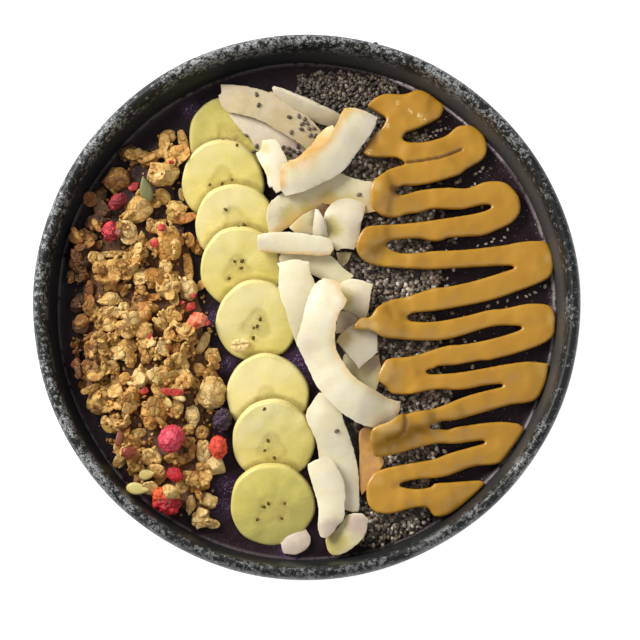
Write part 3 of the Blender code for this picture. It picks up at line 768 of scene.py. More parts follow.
# Coconut chips: thickness, how olive and how lilac the flesh is, the rind along the edge that
# faces one way (way, width, strength), spots of colour, and the outline
CHIPS = {
    "under_slice": (1.2, (0.1, 0.75), None, [], [
        (1.6, -81.4), (0.6, -84.4), (-3.6, -86.8), (-8, -86.4), (-9, -83), (-5, -79), (0, -78)]),
    "top_pink": (1.4, (0.15, 0.45), None, [
        (-3, 56, 5, "olive", 0.6), (-3, 57, 6, "lilac", 0.7)], [
        (-28.2, 70.3), (-24, 69.9), (-15, 67.2), (-8, 63.2), (-2, 59.2), (0.6, 56.6),
        (-2.6, 54.6), (-7, 53), (-12, 53.5), (-16.4, 55.6), (-18.1, 57.6), (-19.7, 60.2),
        (-23, 63.4), (-25.8, 66.8)]),
    "top_wide": (1.5, (0.62, 0.55), None, [
        (-24, 72.5, 5.5, "olive", 1.0), (-9, 66, 5, "olive", 0.9), (0.5, 59.5, 4, "olive", 1.0),
        (-10, 68, 24, "brown", 0.08)], [
        (-30.6, 80.4), (-26, 80.1), (-20, 79.2), (-15.2, 77.9), (-13.4, 77.2), (-12.4, 77.6),
        (-8, 74.6), (-4.5, 71.4), (0, 68.9), (2.4, 66.9), (5.4, 63.3), (3.2, 59.5), (0.4, 56.4),
        (-2.4, 58.9), (-6.4, 61.3), (-10.8, 63.8), (-15.3, 66.5), (-20, 68.3), (-24.5, 69.4),
        (-28.6, 70.6), (-31.0, 73.9), (-31.4, 76.4), (-30.3, 77.2)]),
    "top_steep": (1.5, (0.05, 0.30), None, [(0, 68.5, 3, "olive", 0.3)], [
        (-12.2, 78.2), (-9.4, 77.4), (-5, 75.4), (0, 73.5), (5, 71.1), (10, 69.5), (13.0, 68.3),
        (12.0, 65.0), (9.9, 64.9), (5, 66.2), (0, 68.3), (-4.7, 70.9), (-8.8, 74.0),
        (-11.6, 76.6)]),
    "arch": (1.6, (0.28, 0.06), ((0.1, -1.0), 5.0, 0.75), [
        (-10.5, 34, 5, "lilac", 0.2), (17, 35.4, 3.0, "brown", 0.4),
        (-5, 31.5, 4.5, "olive", 0.9), (0, 35, 4, "olive", 0.7), (25, 41, 5, "lilac", 0.3),
        (8, 39, 4, "olive", 0.75), (16, 37.5, 4, "olive", 0.7)], [
        (-12.7, 36.9), (-10, 39.4), (-5, 42), (0, 44.5), (6, 46.5), (12, 47.6), (15, 46.6),
        (20, 45.2), (24, 44.6), (27, 42.5), (28, 38), (26, 35), (23, 34.2), (21, 33.9),
        (18.5, 35.0), (14, 35.6), (9.6, 36.6), (5.6, 36.7), (3.6, 34.6), (0.5, 32.6),
        (-2.5, 31.0), (-5.8, 28.8), (-8.0, 27.4), (-9.2, 26.0), (-13.2, 26.2), (-13.8, 30.5),
        (-13.6, 34.5)]),
    # The strong brown dab at (7.4, 34) on under_arch is painted shade in the hole between the chips.
    "under_arch": (1.3, (0.38, 0.0), None, [
        (-2, 29, 4, "rind", 0.45), (3, 30, 2.5, "brown", 0.5), (7.4, 34, 6.5, "brown", 1.0)], [
        (-6, 28.2), (-2, 31.8), (3.4, 35.4), (7, 38), (11, 38), (11.2, 33), (8, 29), (2.4, 26),
        (-3, 26.0), (-4.6, 26.8)]),
    "grey_bit": (1.3, (0.85, 0.4), None, [(13, 17, 3, "brown", 0.35)], [
        (10.6, 19.9), (13.1, 19.9), (16.3, 19.9), (15.6, 18), (14.4, 16), (12.5, 14.5),
        (11.5, 15.1), (10.9, 18)]),
    "sliver": (1.3, (0.05, 0.35), None, [], [
        (3.2, 34.4), (4.4, 34.2), (6.4, 30.4), (7.4, 27), (7.6, 24.5), (2.4, 24.5), (2.3, 28)]),
    "round": (1.6, (0.12, 0.22), None, [
        (9.0, 28, 5, "olive", 1.0), (8.4, 27, 3.4, "brown", 0.25), (18, 28, 4, "lilac", 0.35)], [
        (6.0, 31), (8.6, 36.6), (14, 39), (21.4, 37.4), (20.3, 32.3), (19.5, 29.9), (19.0, 26.4),
        (18.6, 22.5), (16.8, 20.6), (13.2, 20.8), (10.6, 19.9), (9.6, 21.5), (8, 23),
        (6.6, 26)]),
    "yellow": (1.4, (0.30, 0.0), ((0.1, -1.0), 1.6, 0.15), [
        (2, 15, 9, "rind", 0.06)], [
        (-9.4, 16.8), (-8.2, 20.4), (-5, 20.8), (0.5, 20.4), (6.8, 19.6), (10.9, 16.6),
        (13.4, 13.8), (17.0, 11.3), (15.6, 10.1), (12.2, 8.0), (9.5, 8.8), (6.2, 9.9),
        (3.2, 11.2), (0, 13), (-5, 14.6), (-8.5, 14.6)]),
    "square": (1.6, (0.25, 0.18), None, [
        (13, 3, 4.5, "olive", 0.95), (12.5, 4, 2.5, "brown", 0.3), (20, 3, 4, "lilac", 0.4)], [
        (12.0, 8.3), (15.6, 10.0), (20, 9.2), (23.5, 8.0), (22.8, 5), (22.4, 2), (22.1, -1),
        (21.2, -3.7), (20, -3.4), (18.4, -5.0), (16.8, -3.1), (14.8, -1.7), (12.0, 0), (10, 3),
        (10.5, 7)]),
    "small": (1.3, (0.25, 0.65), None, [(15, -4, 3, "brown", 0.3)], [
        (13.2, -1.3), (15.8, -2.4), (17.4, -3.5), (18.2, -4.9), (14.6, -8.5), (12.7, -9.1),
        (10.5, -9), (10.8, -2)]),
    "clear": (1.2, (0.60, 0.1), None, [
        (12.0, -13.0, 4.5, "brown", 0.7), (24.0, -20, 3.0, "lilac", 0.6)], [
        (9.6, -8.6), (14, -11), (19.5, -18.5), (25.6, -16.4), (26.4, -21), (25.8, -26),
        (24.2, -30.4), (20, -27.2), (15.6, -23.2), (12.0, -18.6), (9.6, -14.6)]),
    "angular": (1.6, (0.04, 0.28), None, [
        (13, -11, 4, "olive", 0.8), (13, -11, 3, "rind", 0.35), (19, -8, 3, "olive", 0.5)], [
        (10.7, -12.1), (12.7, -14.6), (15, -17.4), (17.1, -19.9), (18.5, -21.9), (20.2, -20.3),
        (22.7, -18.2), (25.3, -15.8), (25.2, -12.5), (24.8, -9), (22, -6), (17, -6), (14, -8),
        (11.8, -10.2)]),
    "upright": (1.5, (0.22, 0.05), ((1.0, 0.0), 2.4, 0.25), [], [
        (-10.2, 15.4), (-9.5, 13.8), (-9.7, 7), (-8.8, 3), (-7.4, -1), (-6.2, -5), (-4.6, -10),
        (-3.2, -13.4), (0, -13), (3, -8), (3.4, 0), (3.2, 8), (1.5, 12), (1.0, 15.5),
        (-4, 16.4)]),
    "level": (1.6, (0.08, 0.03), ((0.0, -1.0), 1.4, 0.75), [(-15, 22, 3, "lilac", 0.25)], [
        (-16.9, 25), (-15, 25.6), (-10, 26.1), (-5, 26.1), (0, 25.5), (5, 24.7), (8, 23.9),
        (9.2, 22.5), (9.8, 20), (8.5, 18.2), (5, 17.9), (0, 18.3), (-6, 18.5), (-9, 18.7),
        (-13, 19.0), (-16.6, 19.6), (-17.3, 22.5)]),
    "long": (1.5, (0.12, 0.02), ((-1.0, 0.1), 1.2, 0.25), [(17, -62, 6, "lilac", 0.25)], [
        (4.4, -30.2), (10, -30), (12, -34), (12.6, -37.4), (13.2, -40.1), (15.1, -45),
        (16.9, -50.7), (17.9, -55.4), (18.5, -60), (18.7, -64.7), (18.6, -71.2), (18.1, -72),
        (14.7, -71.5), (12, -70), (8, -62), (5, -55), (4.1, -50), (3.4, -46.9), (2.2, -43.8),
        (0.6, -40.6), (0, -37.2), (2, -33.8)]),
    "leaf": (1.3, (0.50, 0.15), None, [
        (10, -83, 5, "olive", 0.95), (19, -76, 5, "lilac", 0.85)], [
        (13.4, -74.4), (14.8, -72.6), (19.5, -72.4), (21.6, -74.2), (21.4, -77), (20.4, -80),
        (18.2, -82.8), (15.1, -85.2), (11.9, -86.8), (9.6, -87.2), (8.1, -86), (6.9, -83),
        (7.0, -81), (9.4, -79), (11.9, -76.5)]),
    "near": (1.7, (0.08, 0.06), None, [(9, -78, 5, "lilac", 0.7)], [
        (0.6, -55.2), (2.5, -54.2), (4.7, -53), (6.9, -52.4), (8.2, -53), (9.4, -54),
        (11, -56.6), (12.6, -59.7), (13.5, -62.3), (13.7, -66), (13.5, -70), (13.0, -74.6),
        (11, -76.6), (9.4, -79), (7.2, -80.7), (5.2, -80.6), (4.2, -77.4), (4.4, -71),
        (3.4, -66.3), (1.9, -61.6), (0.9, -58)]),
    "crescent": (1.7, (0.06, 0.06), ((0.93, 0.36), 2.8, 0.5), [
        (0, -14, 5, "lilac", 0.3), (22, -38, 4, "lilac", 0.2)], [
        (6.2, 9.9), (9.5, 9.0), (12.0, 8.0), (12.4, 5.2), (14.4, 1.7), (13.0, -1.0),
        (11.8, -2.4), (10.8, -5), (10.2, -9.8), (10.2, -12.9), (10.8, -16.1), (12.4, -18.9),
        (14, -21.4), (15.9, -24), (18.4, -26.2), (20.9, -27.8), (23.7, -29.3), (25.3, -30.3),
        (28.1, -31.8), (31.2, -33), (33.2, -33.2), (33, -35.5), (32.4, -38.6), (28, -41.2),
        (23.2, -42.4), (18, -40.9), (15, -39.1), (12.2, -37.3), (8, -33.2), (4.7, -29.4),
        (2, -24.6), (0.2, -20.6), (-1.3, -17.4), (-3.4, -12.8), (-2.4, -9), (-1.0, -4),
        (0.2, 1.1), (1.6, 4.6), (3, 7.5)]),
    "short": (1.5, (0.05, 0.05), None, [(-16, 57, 3, "olive", 0.55), (-15, 48, 3, "olive", 0.45)], [
        (-15.6, 59.6), (-11.1, 60.2), (-9.4, 57.8), (-6.4, 51.2), (-6.0, 47), (-8.0, 41.5),
        (-10.4, 40.2), (-11.8, 42.2), (-13.0, 42.2), (-13.6, 43.8), (-14.0, 46.6),
        (-15.4, 49.6), (-17.9, 54.7), (-16.3, 55.9)]),
    "tan": (1.3, (0.5, 0.2), None, [(3, 57, 14, "rind", 0.9), (6, 58, 7, "brown", 0.15)], [
        (7.4, 64.5), (9.4, 64.9), (10.8, 63.5), (8, 58), (3, 53), (-3, 50.2), (-6.4, 50.8),
        (-6.2, 51.8), (-4.2, 52.2), (-2.0, 53.6), (-0.4, 55.4), (2.4, 58.4), (3.9, 61.2),
        (5.9, 63.2)]),
    "top_curve": (1.7, (0.0, 0.10), ((-0.75, 0.66), 3.4, 0.85), [
        (-4, 50.3, 3, "rind", 0.8), (1, 50, 4, "rind", 0.45), (-4, 46.8, 3.4, "olive", 0.3),
        (13.6, 68.4, 2.6, "olive", 0.8), (15, 60, 5, "lilac", 0.25)], [
        (13.7, 70.5), (17, 70.6), (20, 69.9), (25.6, 67.6), (23.2, 62.1), (20, 57.4),
        (16.9, 52.9), (15, 50.2), (12.1, 47.2), (8.6, 45), (5, 43.1), (0, 40.8), (-3.5, 39.8),
        (-7.4, 39.0), (-9.0, 41.5), (-9.0, 46), (-8.3, 49.8), (-5.5, 50.8), (-3.0, 51.4),
        (0, 52.9), (2.6, 54.3), (5.8, 56.8), (8, 59.4), (10.4, 64.0), (12.1, 68)]),
}
STAIN_KINDS = ("rind", "olive", "lilac", "brown")
CHIP_START = 50.0
CHIP_SQUARES = 1.3


def coconut_flesh():
    """Fresh coconut: ivory with fine fibres, olive and lilac shades, and warm rind."""
    finish = Finish("fresh_coconut")
    broad = finish.noise(9.0, 2.0)
    patch = finish.noise(3.0, 3.0, 0.6)
    fine = finish.noise(0.7, 3.0, 0.6)
    uneven = 0.55 + 0.9 * patch
    color = finish.mix(finish.step(broad, 0.36, 0.64), (0.850, 0.765, 0.575),
                       (0.810, 0.730, 0.490))
    color = finish.mix(finish.value("olive") * uneven, color, (0.60, 0.500, 0.140))
    color = finish.mix(finish.value("lilac") * uneven, color, (0.48, 0.355, 0.290))
    color = finish.mix(finish.value("rind") * uneven, color, (0.74, 0.440, 0.125))
    # The brown stain marks brown spots on the chips, and on under_arch painted shade in a hole.
    color = finish.mix(finish.value("brown") * uneven, color, (0.20, 0.095, 0.022))
    normal = finish.bump(fine, 0.06, finish.bump(patch, 0.15))
    return finish.done(Base_Color=color, Roughness=0.36 + 0.2 * fine, Normal=normal,
                       Subsurface_Weight=0.06, Subsurface_Radius=(0.0020, 0.0016, 0.0010),
                       Subsurface_Scale=1.0)


def span_to_outline(points, outline):
    """How far each point lies from each side of an outline."""
    along = np.roll(outline, -1, axis=0) - outline
    length = np.maximum(np.linalg.norm(along, axis=1), 1e-6)
    offset = points[:, None, :2] - outline[None]
    share = np.clip((offset * along).sum(axis=2) / length ** 2, 0, 1)
    return np.linalg.norm(offset - share[..., None] * along, axis=2)


def rind_along(points, outline, way, width, strength):
    """The rind's strength near the edges of an outline that face one way."""
    along = np.roll(outline, -1, axis=0) - outline
    length = np.maximum(np.linalg.norm(along, axis=1), 1e-6)
    turned = np.sign((outline[:, 0] * np.roll(outline[:, 1], -1)
                      - np.roll(outline[:, 0], -1) * outline[:, 1]).sum())
    out = np.column_stack([along[:, 1], -along[:, 0]]) / length[:, None] * turned
    match = soft_step(0.15, 0.75, out @ (np.array(way) / np.linalg.norm(way)))
    span = span_to_outline(points, outline)
    nearest = span.argmin(axis=1)
    return strength * match[nearest] * (1 - soft_step(0.15, 1.0, span.min(axis=1) / width))


def make_chips():
    """Every coconut chip: its outline drawn flat, curved like its frame solid and thickened."""
    flesh = coconut_flesh()
    rng = np.random.default_rng(7)
    chips = []
    for name, (thickness, shades, rind, spots, corners) in CHIPS.items():
        outline = rounded(corners, 48.0, 0.9)
        outline += rng.normal(0.0, 0.07, outline.shape)
        chip = drawn_face("coconut_chip_" + name, outline, CHIP_START)
        cut_squares(chip, CHIP_SQUARES)
        surface = Surface("coconut_" + name, 0.35, 3.0)
        points = get_points(chip)
        points[:, 2] = surface.at(points) + 0.12 * grain(points, 6.0, 3.0)
        set_points(chip, points)
        apply_modifier(chip, "SOLIDIFY", thickness=thickness * MM, offset=-1.0,
                       use_even_offset=True)
        apply_modifier(chip, "BEVEL", width=0.00022, segments=2, limit_method="ANGLE",
                       angle_limit=math.radians(50))
        points = get_points(chip)
        points = push_out(chip, points, 0.05 * grain(points, 1.8))
        values = stains_and_painted_light(points, spots, STAIN_KINDS)
        values["olive"] = np.clip(values["olive"] + shades[0], 0, 1)
        values["lilac"] = np.clip(values["lilac"] + shades[1], 0, 1)
        if rind:
            values["rind"] = np.maximum(values["rind"], rind_along(points, outline, *rind))
        for kind in STAIN_KINDS:
            set_values(chip, kind, values[kind])
        smooth_faces(chip, 40)
        chips.append(serve(chip, flesh, ["coconut_" + name]))
    return chips


# The drizzle's outline round all its folds, and the thin smear's beside it
DRIZZLE = [
    (21.6, 72.1), (23.2, 74.2), (27.7, 76.6), (35.3, 76.8), (40.8, 78.4), (49.1, 73.4),
    (49.4, 72.3), (48.8, 70.3), (48.1, 69), (45.6, 67.4), (40, 64.5), (35.3, 62.7),
    (34.4, 61.3), (34.5, 60), (35.7, 59.4), (37.9, 59.2), (42.7, 59.5), (50, 61.9),
    (53.2, 64.8), (55, 65.7), (57.4, 66), (59.3, 65.8), (62.8, 63.2), (63.9, 61.6),
    (64.6, 59.4), (64.7, 57.1), (64.1, 54.8), (63.1, 53.5), (57, 49.7), (55, 48), (52.6, 47.1),
    (45, 44.8), (38, 43.6), (35, 43.6), (33, 43), (31.5, 41.5), (32.5, 40), (35.3, 40.3),
    (40, 41.9), (50, 43), (57.7, 43), (63.8, 45.3), (69.9, 45.5), (72.8, 43.9), (75.6, 40.5),
    (76.4, 38.3), (76.3, 34.5), (74.1, 31.3), (72.4, 30.1), (65.4, 26.9), (62.6, 26), (50, 25),
    (48.3, 24.1), (45, 23.8), (40, 24.7), (30, 23.8), (27.8, 22.3), (29.2, 21), (33, 19.5),
    (40, 19.5), (45, 20.2), (54.9, 20.7), (69.9, 22.5), (77.5, 23.9), (84.6, 24.1),
    (85.5, 23.6), (86.6, 22), (87.9, 17.2), (87.7, 12.7), (85.2, 10.1), (75.1, 6.1),
    (65.2, 2.8), (47.4, -0.8), (37.4, -2), (36, -2.8), (35.4, -3.8), (36.8, -4.9), (45, -5),
    (55, -3.2), (65.2, -0.6), (70.2, -0.1), (77.9, 1.5), (82.3, 1.7), (86.5, 0.9), (88.4, -2.2),
    (88.5, -4.8), (87.7, -9.8), (81.8, -13.6), (65, -18.5), (62.2, -18.5), (52.4, -20.3),
    (46.2, -20.7), (45.2, -21.5), (42.7, -22.1), (40.6, -23.2), (45.2, -23.6), (54.9, -22.8),
    (77.4, -19), (86.1, -19.6), (84.7, -26.6), (81.5, -32.3), (77.4, -33.7), (72.3, -34.3),
    (52.4, -39.8), (47.6, -40.2), (41, -42.5), (42.6, -42.9), (47.6, -42.9), (50, -43.1),
    (52.7, -42.2), (67.5, -40.3), (75, -40.9), (76.3, -41.7), (77.2, -42.9), (70.9, -52),
    (68.4, -54.8), (67.1, -55.3), (60, -55.9), (57.1, -56.6), (50, -59.2), (47, -59.9),
    (38.2, -60.6), (33.9, -61.6), (31.7, -62.8), (38.2, -63.9), (44.2, -63.1), (45, -62),
    (50, -61.6), (60, -60.9), (61.8, -60.9), (63.1, -61.9), (61.5, -63.9), (54.6, -69.9),
    (50.8, -72.5), (48.9, -73.3), (45, -73.5), (42.6, -70.5), (37.4, -70.6), (30, -72.5),
    (25.1, -72.3), (23.2, -71.2), (21.9, -69.4), (21.2, -67.2), (21.3, -62.2), (22.6, -60),
    (24.1, -58.1), (30, -56.1), (45, -53.4), (50, -51.5), (65.9, -47.1), (62.5, -46.8),
    (52.7, -48), (45.1, -48.1), (30, -52), (24.2, -52.6), (23, -50), (22.3, -47), (22.4, -44.6),
    (23.4, -42.6), (29, -40.4), (33.2, -37.7), (34.7, -37.9), (37.5, -37), (45.1, -35.7),
    (57.4, -31), (74.2, -26.8), (65, -27.2), (54.9, -29), (45.2, -29), (37.3, -30.6),
    (32.4, -30.8), (30.1, -30.4), (28.9, -29.4), (28.3, -28.3), (25.6, -26.2), (25.1, -25.1),
    (25.2, -24), (26.7, -20.7), (28.6, -18.3), (37.3, -17.2), (50, -13.4), (54.9, -13),
    (65, -11.1), (75, -8.1), (78, -6.4), (70, -6.1), (65, -6.7), (48.2, -11.4), (28.6, -11.1),
    (25.9, -10.3), (24.6, -9.2), (22, -8.4), (16.5, -8.4), (16.8, -6.6), (18.5, -4.6),
    (20.2, -3.7), (21.7, -4.1), (22.8, -3.5), (25, -0.2), (30, 2.6), (35, 3.7), (45, 6.9),
    (50, 7.5), (60, 9.8), (76.8, 15.1), (70.1, 15.3), (45, 13.7), (40, 13.8), (27.5, 14.5),
    (22.4, 15.6), (19.6, 17.1), (17.9, 19.6), (17.6, 21.6), (19.1, 25.9), (21, 28.1),
    (22.4, 28.6), (40, 30.5), (60, 33.8), (65, 35.3), (66.8, 36.4), (65, 37.2), (62.6, 37.1),
    (54.9, 35.3), (45, 35.4), (40, 34), (35, 33.2), (32.8, 32.2), (27.7, 32.2), (25, 33.6),
    (23.5, 35.1), (22.9, 36.4), (22.5, 38.4), (22.9, 42.9), (23.8, 44.8), (28.3, 48.4),
    (30, 49.5), (36.6, 51.5), (47.5, 53.3), (55.1, 56.6), (47.4, 53.9), (37.3, 52.3),
    (34.9, 52.2), (32.5, 53.7), (23.2, 53.7), (20.7, 54.5), (20.2, 55.2), (22, 58.5), (25, 63),
    (26.6, 64), (28.6, 67.2), (28.4, 68.3),
]
SMEAR = [
    (19, -43.2), (20.2, -42.3), (23.4, -42.8), (24.6, -50), (27.6, -54.0), (26.2, -57.4),
    (24.4, -60.8), (21.6, -64), (19.6, -66), (18.9, -64.2), (18.6, -59.9), (18.5, -57.1),
    (18.7, -54.2), (18.8, -51.1), (18.6, -48), (18.5, -45.1),
]
DRIZZLE_DEPTH = 3.4
DRIZZLE_SINK = 3.1  # how far the drizzle's underside lies below its frame solid's top
SMEAR_DEPTH = 1.4
SMEAR_LEVEL = 50.2
# Painted light and shade on the drizzle: x, y, reach, kind, strength; dark is painted shade, bright painted
# highlight and reflection, glint painted glints
DRIZZLE_LIGHT_AND_SHADE = [
    (31, 41.6, 2.6, "dark", 1.0), (27.6, 22.4, 1.5, "dark", 0.4), (34.6, -3.4, 2.0, "dark", 0.4),
    (39.6, -23.2, 2.0, "dark", 0.3), (39.6, -42.6, 2.0, "dark", 0.3), (31.4, -62.7, 1.6, "dark", 0.4),
    (24, 57, 3.6, "dark", 0.30), (22, 72, 3.0, "dark", 0.25), (27.5, -41.5, 5.0, "bright", 0.7),
    (40.4, 68.6, 1.3, "glint", 1.0), (41.9, 67.2, 1.2, "glint", 0.9), (37.2, 70, 0.7, "glint", 0.9),
    (36.4, 70.8, 0.6, "glint", 0.6), (32.5, 73.2, 0.8, "glint", 0.6), (28.9, 65, 1.2, "glint", 0.5),
    (22.6, 55.2, 1.1, "glint", 0.7), (25.5, -61, 2.4, "bright", 0.4), (27.6, 66.6, 1.6, "bright", 0.5),
    (25, 43, 2.6, "bright", 0.55), (21.5, 17.8, 2.4, "bright", 0.6), (23, -7, 3.0, "bright", 0.8),
    (20, -6.4, 2.6, "bright", 0.8), (28, -21.5, 2.6, "bright", 0.5), (27, -25, 2.2, "bright", 0.6),
    (87, 18, 3.0, "bright", 0.45), (87.5, -4, 3.0, "bright", 0.45), (84, -22, 3.0, "bright", 0.3),
]
# Where two folds of the drizzle meet: half the groove's width, how deep, then its line
# The grooves are darkened too, as painted shade.
GROOVES = [
    (0.50, 1.0, [(35.5, 51.7), (42, 52.6), (47.5, 53.6), (51.3, 55.0), (55.5, 56.9)]),
    (0.85, 0.55, [(34.6, -37.4), (34.9, -41), (34.2, -44), (31.2, -45.8), (28.5, -46.6)]),
]


def grooved(points):
    """How deep in a groove each point lies, from 0 to 1."""
    depth = np.zeros(len(points))
    for half, strength, line in GROOVES:
        line = np.array(line, dtype=float)
        for start, end in zip(line, line[1:]):
            along = end - start
            share = np.clip((points[:, :2] - start) @ along / (along @ along), 0, 1)
            span = np.linalg.norm(points[:, :2] - start - share[:, None] * along, axis=1)
            depth = np.maximum(depth, strength * (1 - soft_step(0.3, 1.3, span / half)))
    return depth


def drizzle():
    """Runny peanut butter: golden caramel, smooth and softly glossy."""
    finish = Finish("peanut_butter_drizzle")
    broad = finish.noise(12.0, 2.0)
    fine = finish.noise(0.6, 3.0, 0.6)
    color = finish.mix(finish.step(broad, 0.3, 0.7), (0.500, 0.250, 0.017),
                       (0.450, 0.212, 0.012))
    # Painted shade: the dark dabs and the grooves.
    color = finish.mix(finish.value("dark") * (0.6 + 0.6 * fine), color, (0.170, 0.062, 0.007))
    # Painted highlight: the bright dabs, and painted reflection where the drizzle meets the wall.
    color = finish.mix(finish.value("bright") * 0.8, color, (0.66, 0.42, 0.13))
    specks = finish.step(finish.noise(0.8, 2.0), 0.70, 0.76)
    color = finish.mix(0.30 * specks, color, (0.28, 0.13, 0.025))
    glint = finish.value("glint") * finish.step(finish.noise(0.9, 2.0), 0.40, 0.58)
    color = finish.mix(glint, color, (0.92, 0.66, 0.30))
    normal = finish.bump(fine, 0.03, finish.bump(finish.noise(6.0, 2.0), 0.25))
    return finish.done(Base_Color=color, Roughness=0.34 + 0.12 * fine, Normal=normal,
                       Coat_Weight=0.35, Coat_Roughness=0.12)


def smeared():
    """Peanut butter smeared thin, with what lies under it showing through."""
    finish = Finish("peanut_butter_smear")
    broad = finish.noise(3.5, 3.0, 0.6)
    streak = finish.step(finish.noise(2.4, 2.0), 0.42, 0.66)
    color = finish.mix(broad, (0.42, 0.205, 0.062), (0.58, 0.320, 0.105))
    color = finish.mix(0.45 * streak, color, (0.66, 0.360, 0.075))
    return finish.done(Base_Color=color, Roughness=0.26 + 0.15 * broad,
                       Normal=finish.bump(broad, 0.3))


def poured(name, corners, height, voxel, rounds, heights):
    """A poured layer: its outline drawn flat, raised, rounded and laid over what is below."""
    layer = drawn_face(name, rounded(corners, 75.0, 1.2), 0.0)
    edit(layer)
    bpy.ops.mesh.extrude_region_move(
        TRANSFORM_OT_translate={"value": (0.0, 0.0, height * MM)})
    bpy.ops.mesh.select_all(action="SELECT")
    bpy.ops.mesh.normals_make_consistent(inside=False)
    leave_edit()
    remesh(layer, voxel, rounds)
    points = get_points(layer)
    upper = soft_step(0.3 * height, height, points[:, 2])
    groove = grooved(points)
    relief = 0.30 * grain(points, 8.0) + 0.10 * grain(points, 3.0) - 0.9 * groove
    points[:, 2] += heights(points) + upper * relief
    set_points(layer, points)
    # The drizzle's dabs here are painted shade, highlights, reflection and glints.
    values = stains_and_painted_light(points, DRIZZLE_LIGHT_AND_SHADE, ("dark", "bright", "glint"))
    # Painted shade in the grooves.
    values["dark"] = np.maximum(values["dark"], groove)
    for kind, amounts in values.items():
        set_values(layer, kind, amounts)
    smooth_faces(layer)
    return layer


def make_butter():
    """The drizzle, at the height of its frame solid, and a thin smear beside it."""
    surface = Surface("peanut_butter", 0.85, 2.5)
    butter = poured("peanut_butter_drizzle", DRIZZLE, DRIZZLE_DEPTH, 0.5, 12,
                    lambda points: surface.at(points) - DRIZZLE_SINK)
    smear = poured("peanut_butter_smear", SMEAR, SMEAR_DEPTH, 0.4, 5, lambda points: SMEAR_LEVEL)
    return [serve(butter, drizzle(), ["peanut_butter"]),
            serve(smear, smeared())]


class Stamp:
    """A small shape modelled once, to be laid many times."""

    def __init__(self, obj):
        self.points = get_points(obj)
        self.points -= (self.points.min(axis=0) + self.points.max(axis=0)) / 2
        self.points /= np.ptp(self.points, axis=0).max()
        self.faces = [tuple(face.vertices) for face in obj.data.polygons]
        bpy.data.objects.remove(obj)


class Scatter:
    """Many laid stamps of one kind, joined into one mesh."""

    def __init__(self, name):
        self.name = name
        self.points = []
        self.faces = []
        self.values = {"tone": [], "warm": []}
        self.count = 0

    def add(self, stamp, points, tone, warm):
        """Lay one stamp with its points already in place."""
        self.points.append(points)
        self.faces += [tuple(index + self.count for index in face) for face in stamp.faces]
        self.values["tone"].append(np.full(len(points), tone))
        self.values["warm"].append(np.full(len(points), warm))
        self.count += len(points)

    def made(self):
        """The joined mesh."""
        obj = mesh_object(self.name, np.vstack(self.points), self.faces)
        for name, values in self.values.items():
            set_values(obj, name, np.concatenate(values))
        smooth_faces(obj)
        return obj


def blob(name, parts, voxel, rough, faces, seed):
    """A lump of pressed grains: joined balls, remeshed into one and roughened."""
    rng = np.random.default_rng(seed)
    clear_selection()
    made = []
    for x, y, z, rx, ry, rz in parts:
        turn = rng.uniform(0, math.pi, 3)
        bpy.ops.mesh.primitive_ico_sphere_add(
            subdivisions=3, radius=MM, location=(x * MM, y * MM, z * MM), rotation=turn,
            scale=(rx, ry, rz))
        made.append(bpy.context.active_object)
    clear_selection()
    for obj in made:
        obj.select_set(True)
    bpy.context.view_layer.objects.active = made[0]
    bpy.ops.object.join()
    lump = bpy.context.active_object
    lump.name = name
    pick(lump)
    bpy.ops.object.transform_apply(location=True, rotation=True, scale=True)
    remesh(lump, voxel, 2)
    points = get_points(lump)
    push = rough * (0.6 * grain(points, 1.9, seed) + 0.5 * grain(points, 0.9, seed + 5.0))
    push_out(lump, points, push)
    thin(lump, faces)
    return lump


def cluster_stamp(name, seed, count, grain_size, spread, faces, rough):
    """A cluster of grains pressed together round a middle."""
    rng = np.random.default_rng(seed)
    parts = [(0, 0, 0, *(spread * 0.62 * rng.uniform(0.8, 1.1, 3)))]
    for _ in range(count):
        way = rng.normal(size=3)
        way /= np.linalg.norm(way)
        place = way * spread * rng.uniform(0.60, 0.95) * np.array([1.0, 0.9, 0.7])
        size = grain_size * rng.uniform(0.45, 1.45) * rng.permutation([0.42, 0.9, 1.25]) / 2
        parts.append((*place, *np.maximum(size, 0.45)))
    return Stamp(blob(name, parts, 0.36, rough, faces, seed))


CHUNK_CORNERS = 17


def chunk_stamp(name, seed, faces, rough, squash=(1.0, 1.0, 1.0)):
    """A pressed chunk: a lump with worn facets and a few pits."""
    rng = np.random.default_rng(seed)
    chunk = new_primitive(name, bpy.ops.mesh.primitive_ico_sphere_add, subdivisions=2,
                          radius=0.005)
    points = get_points(chunk)
    inner = rng.permutation(len(points))[CHUNK_CORNERS:]
    points = points * rng.uniform(0.86, 1.08, (len(points), 1)) * np.array(squash)
    points[inner] *= 0.4
    set_points(chunk, points)
    edit(chunk)
    bpy.ops.mesh.convex_hull()
    leave_edit()
    remesh(chunk, 0.4, 7)
    points = get_points(chunk)
    push = rough * (0.75 * grain(points, 2.8, seed) + 0.35 * grain(points, 1.2, seed + 3.0))
    cracks = np.exp(-(grain(points, 4.2, seed + 9.0) / 0.10) ** 2)
    push_out(chunk, points, push - 0.30 * rough * cracks)
    thin(chunk, faces)
    return Stamp(chunk)


def flake_stamp(name, seed, curl, crease=0.5, fineness=1):
    """A rolled oat flake: a thin oval with a crease along it."""
    flake = new_primitive(name, bpy.ops.mesh.primitive_uv_sphere_add, segments=14 * fineness,
                          ring_count=8 * fineness, radius=0.005)
    points = get_points(flake) * np.array([1.0, 0.68, 0.14])
    groove = np.exp(-(points[:, 1] / 0.5) ** 2) * (np.abs(points[:, 0]) < 4.2)
    points[:, 2] -= crease * groove * np.sign(points[:, 2]) * 0.55
    points[:, 2] += curl * (points[:, 0] / 5.0) ** 2 + 0.35 * grain(points, 3.0, seed)
    edge = 1 + 0.09 * grain(points * np.array([1, 1, 0.0]), 2.2, seed + 2.0)
    points[:, :2] *= edge[:, None]
    set_points(flake, points)
    return Stamp(flake)


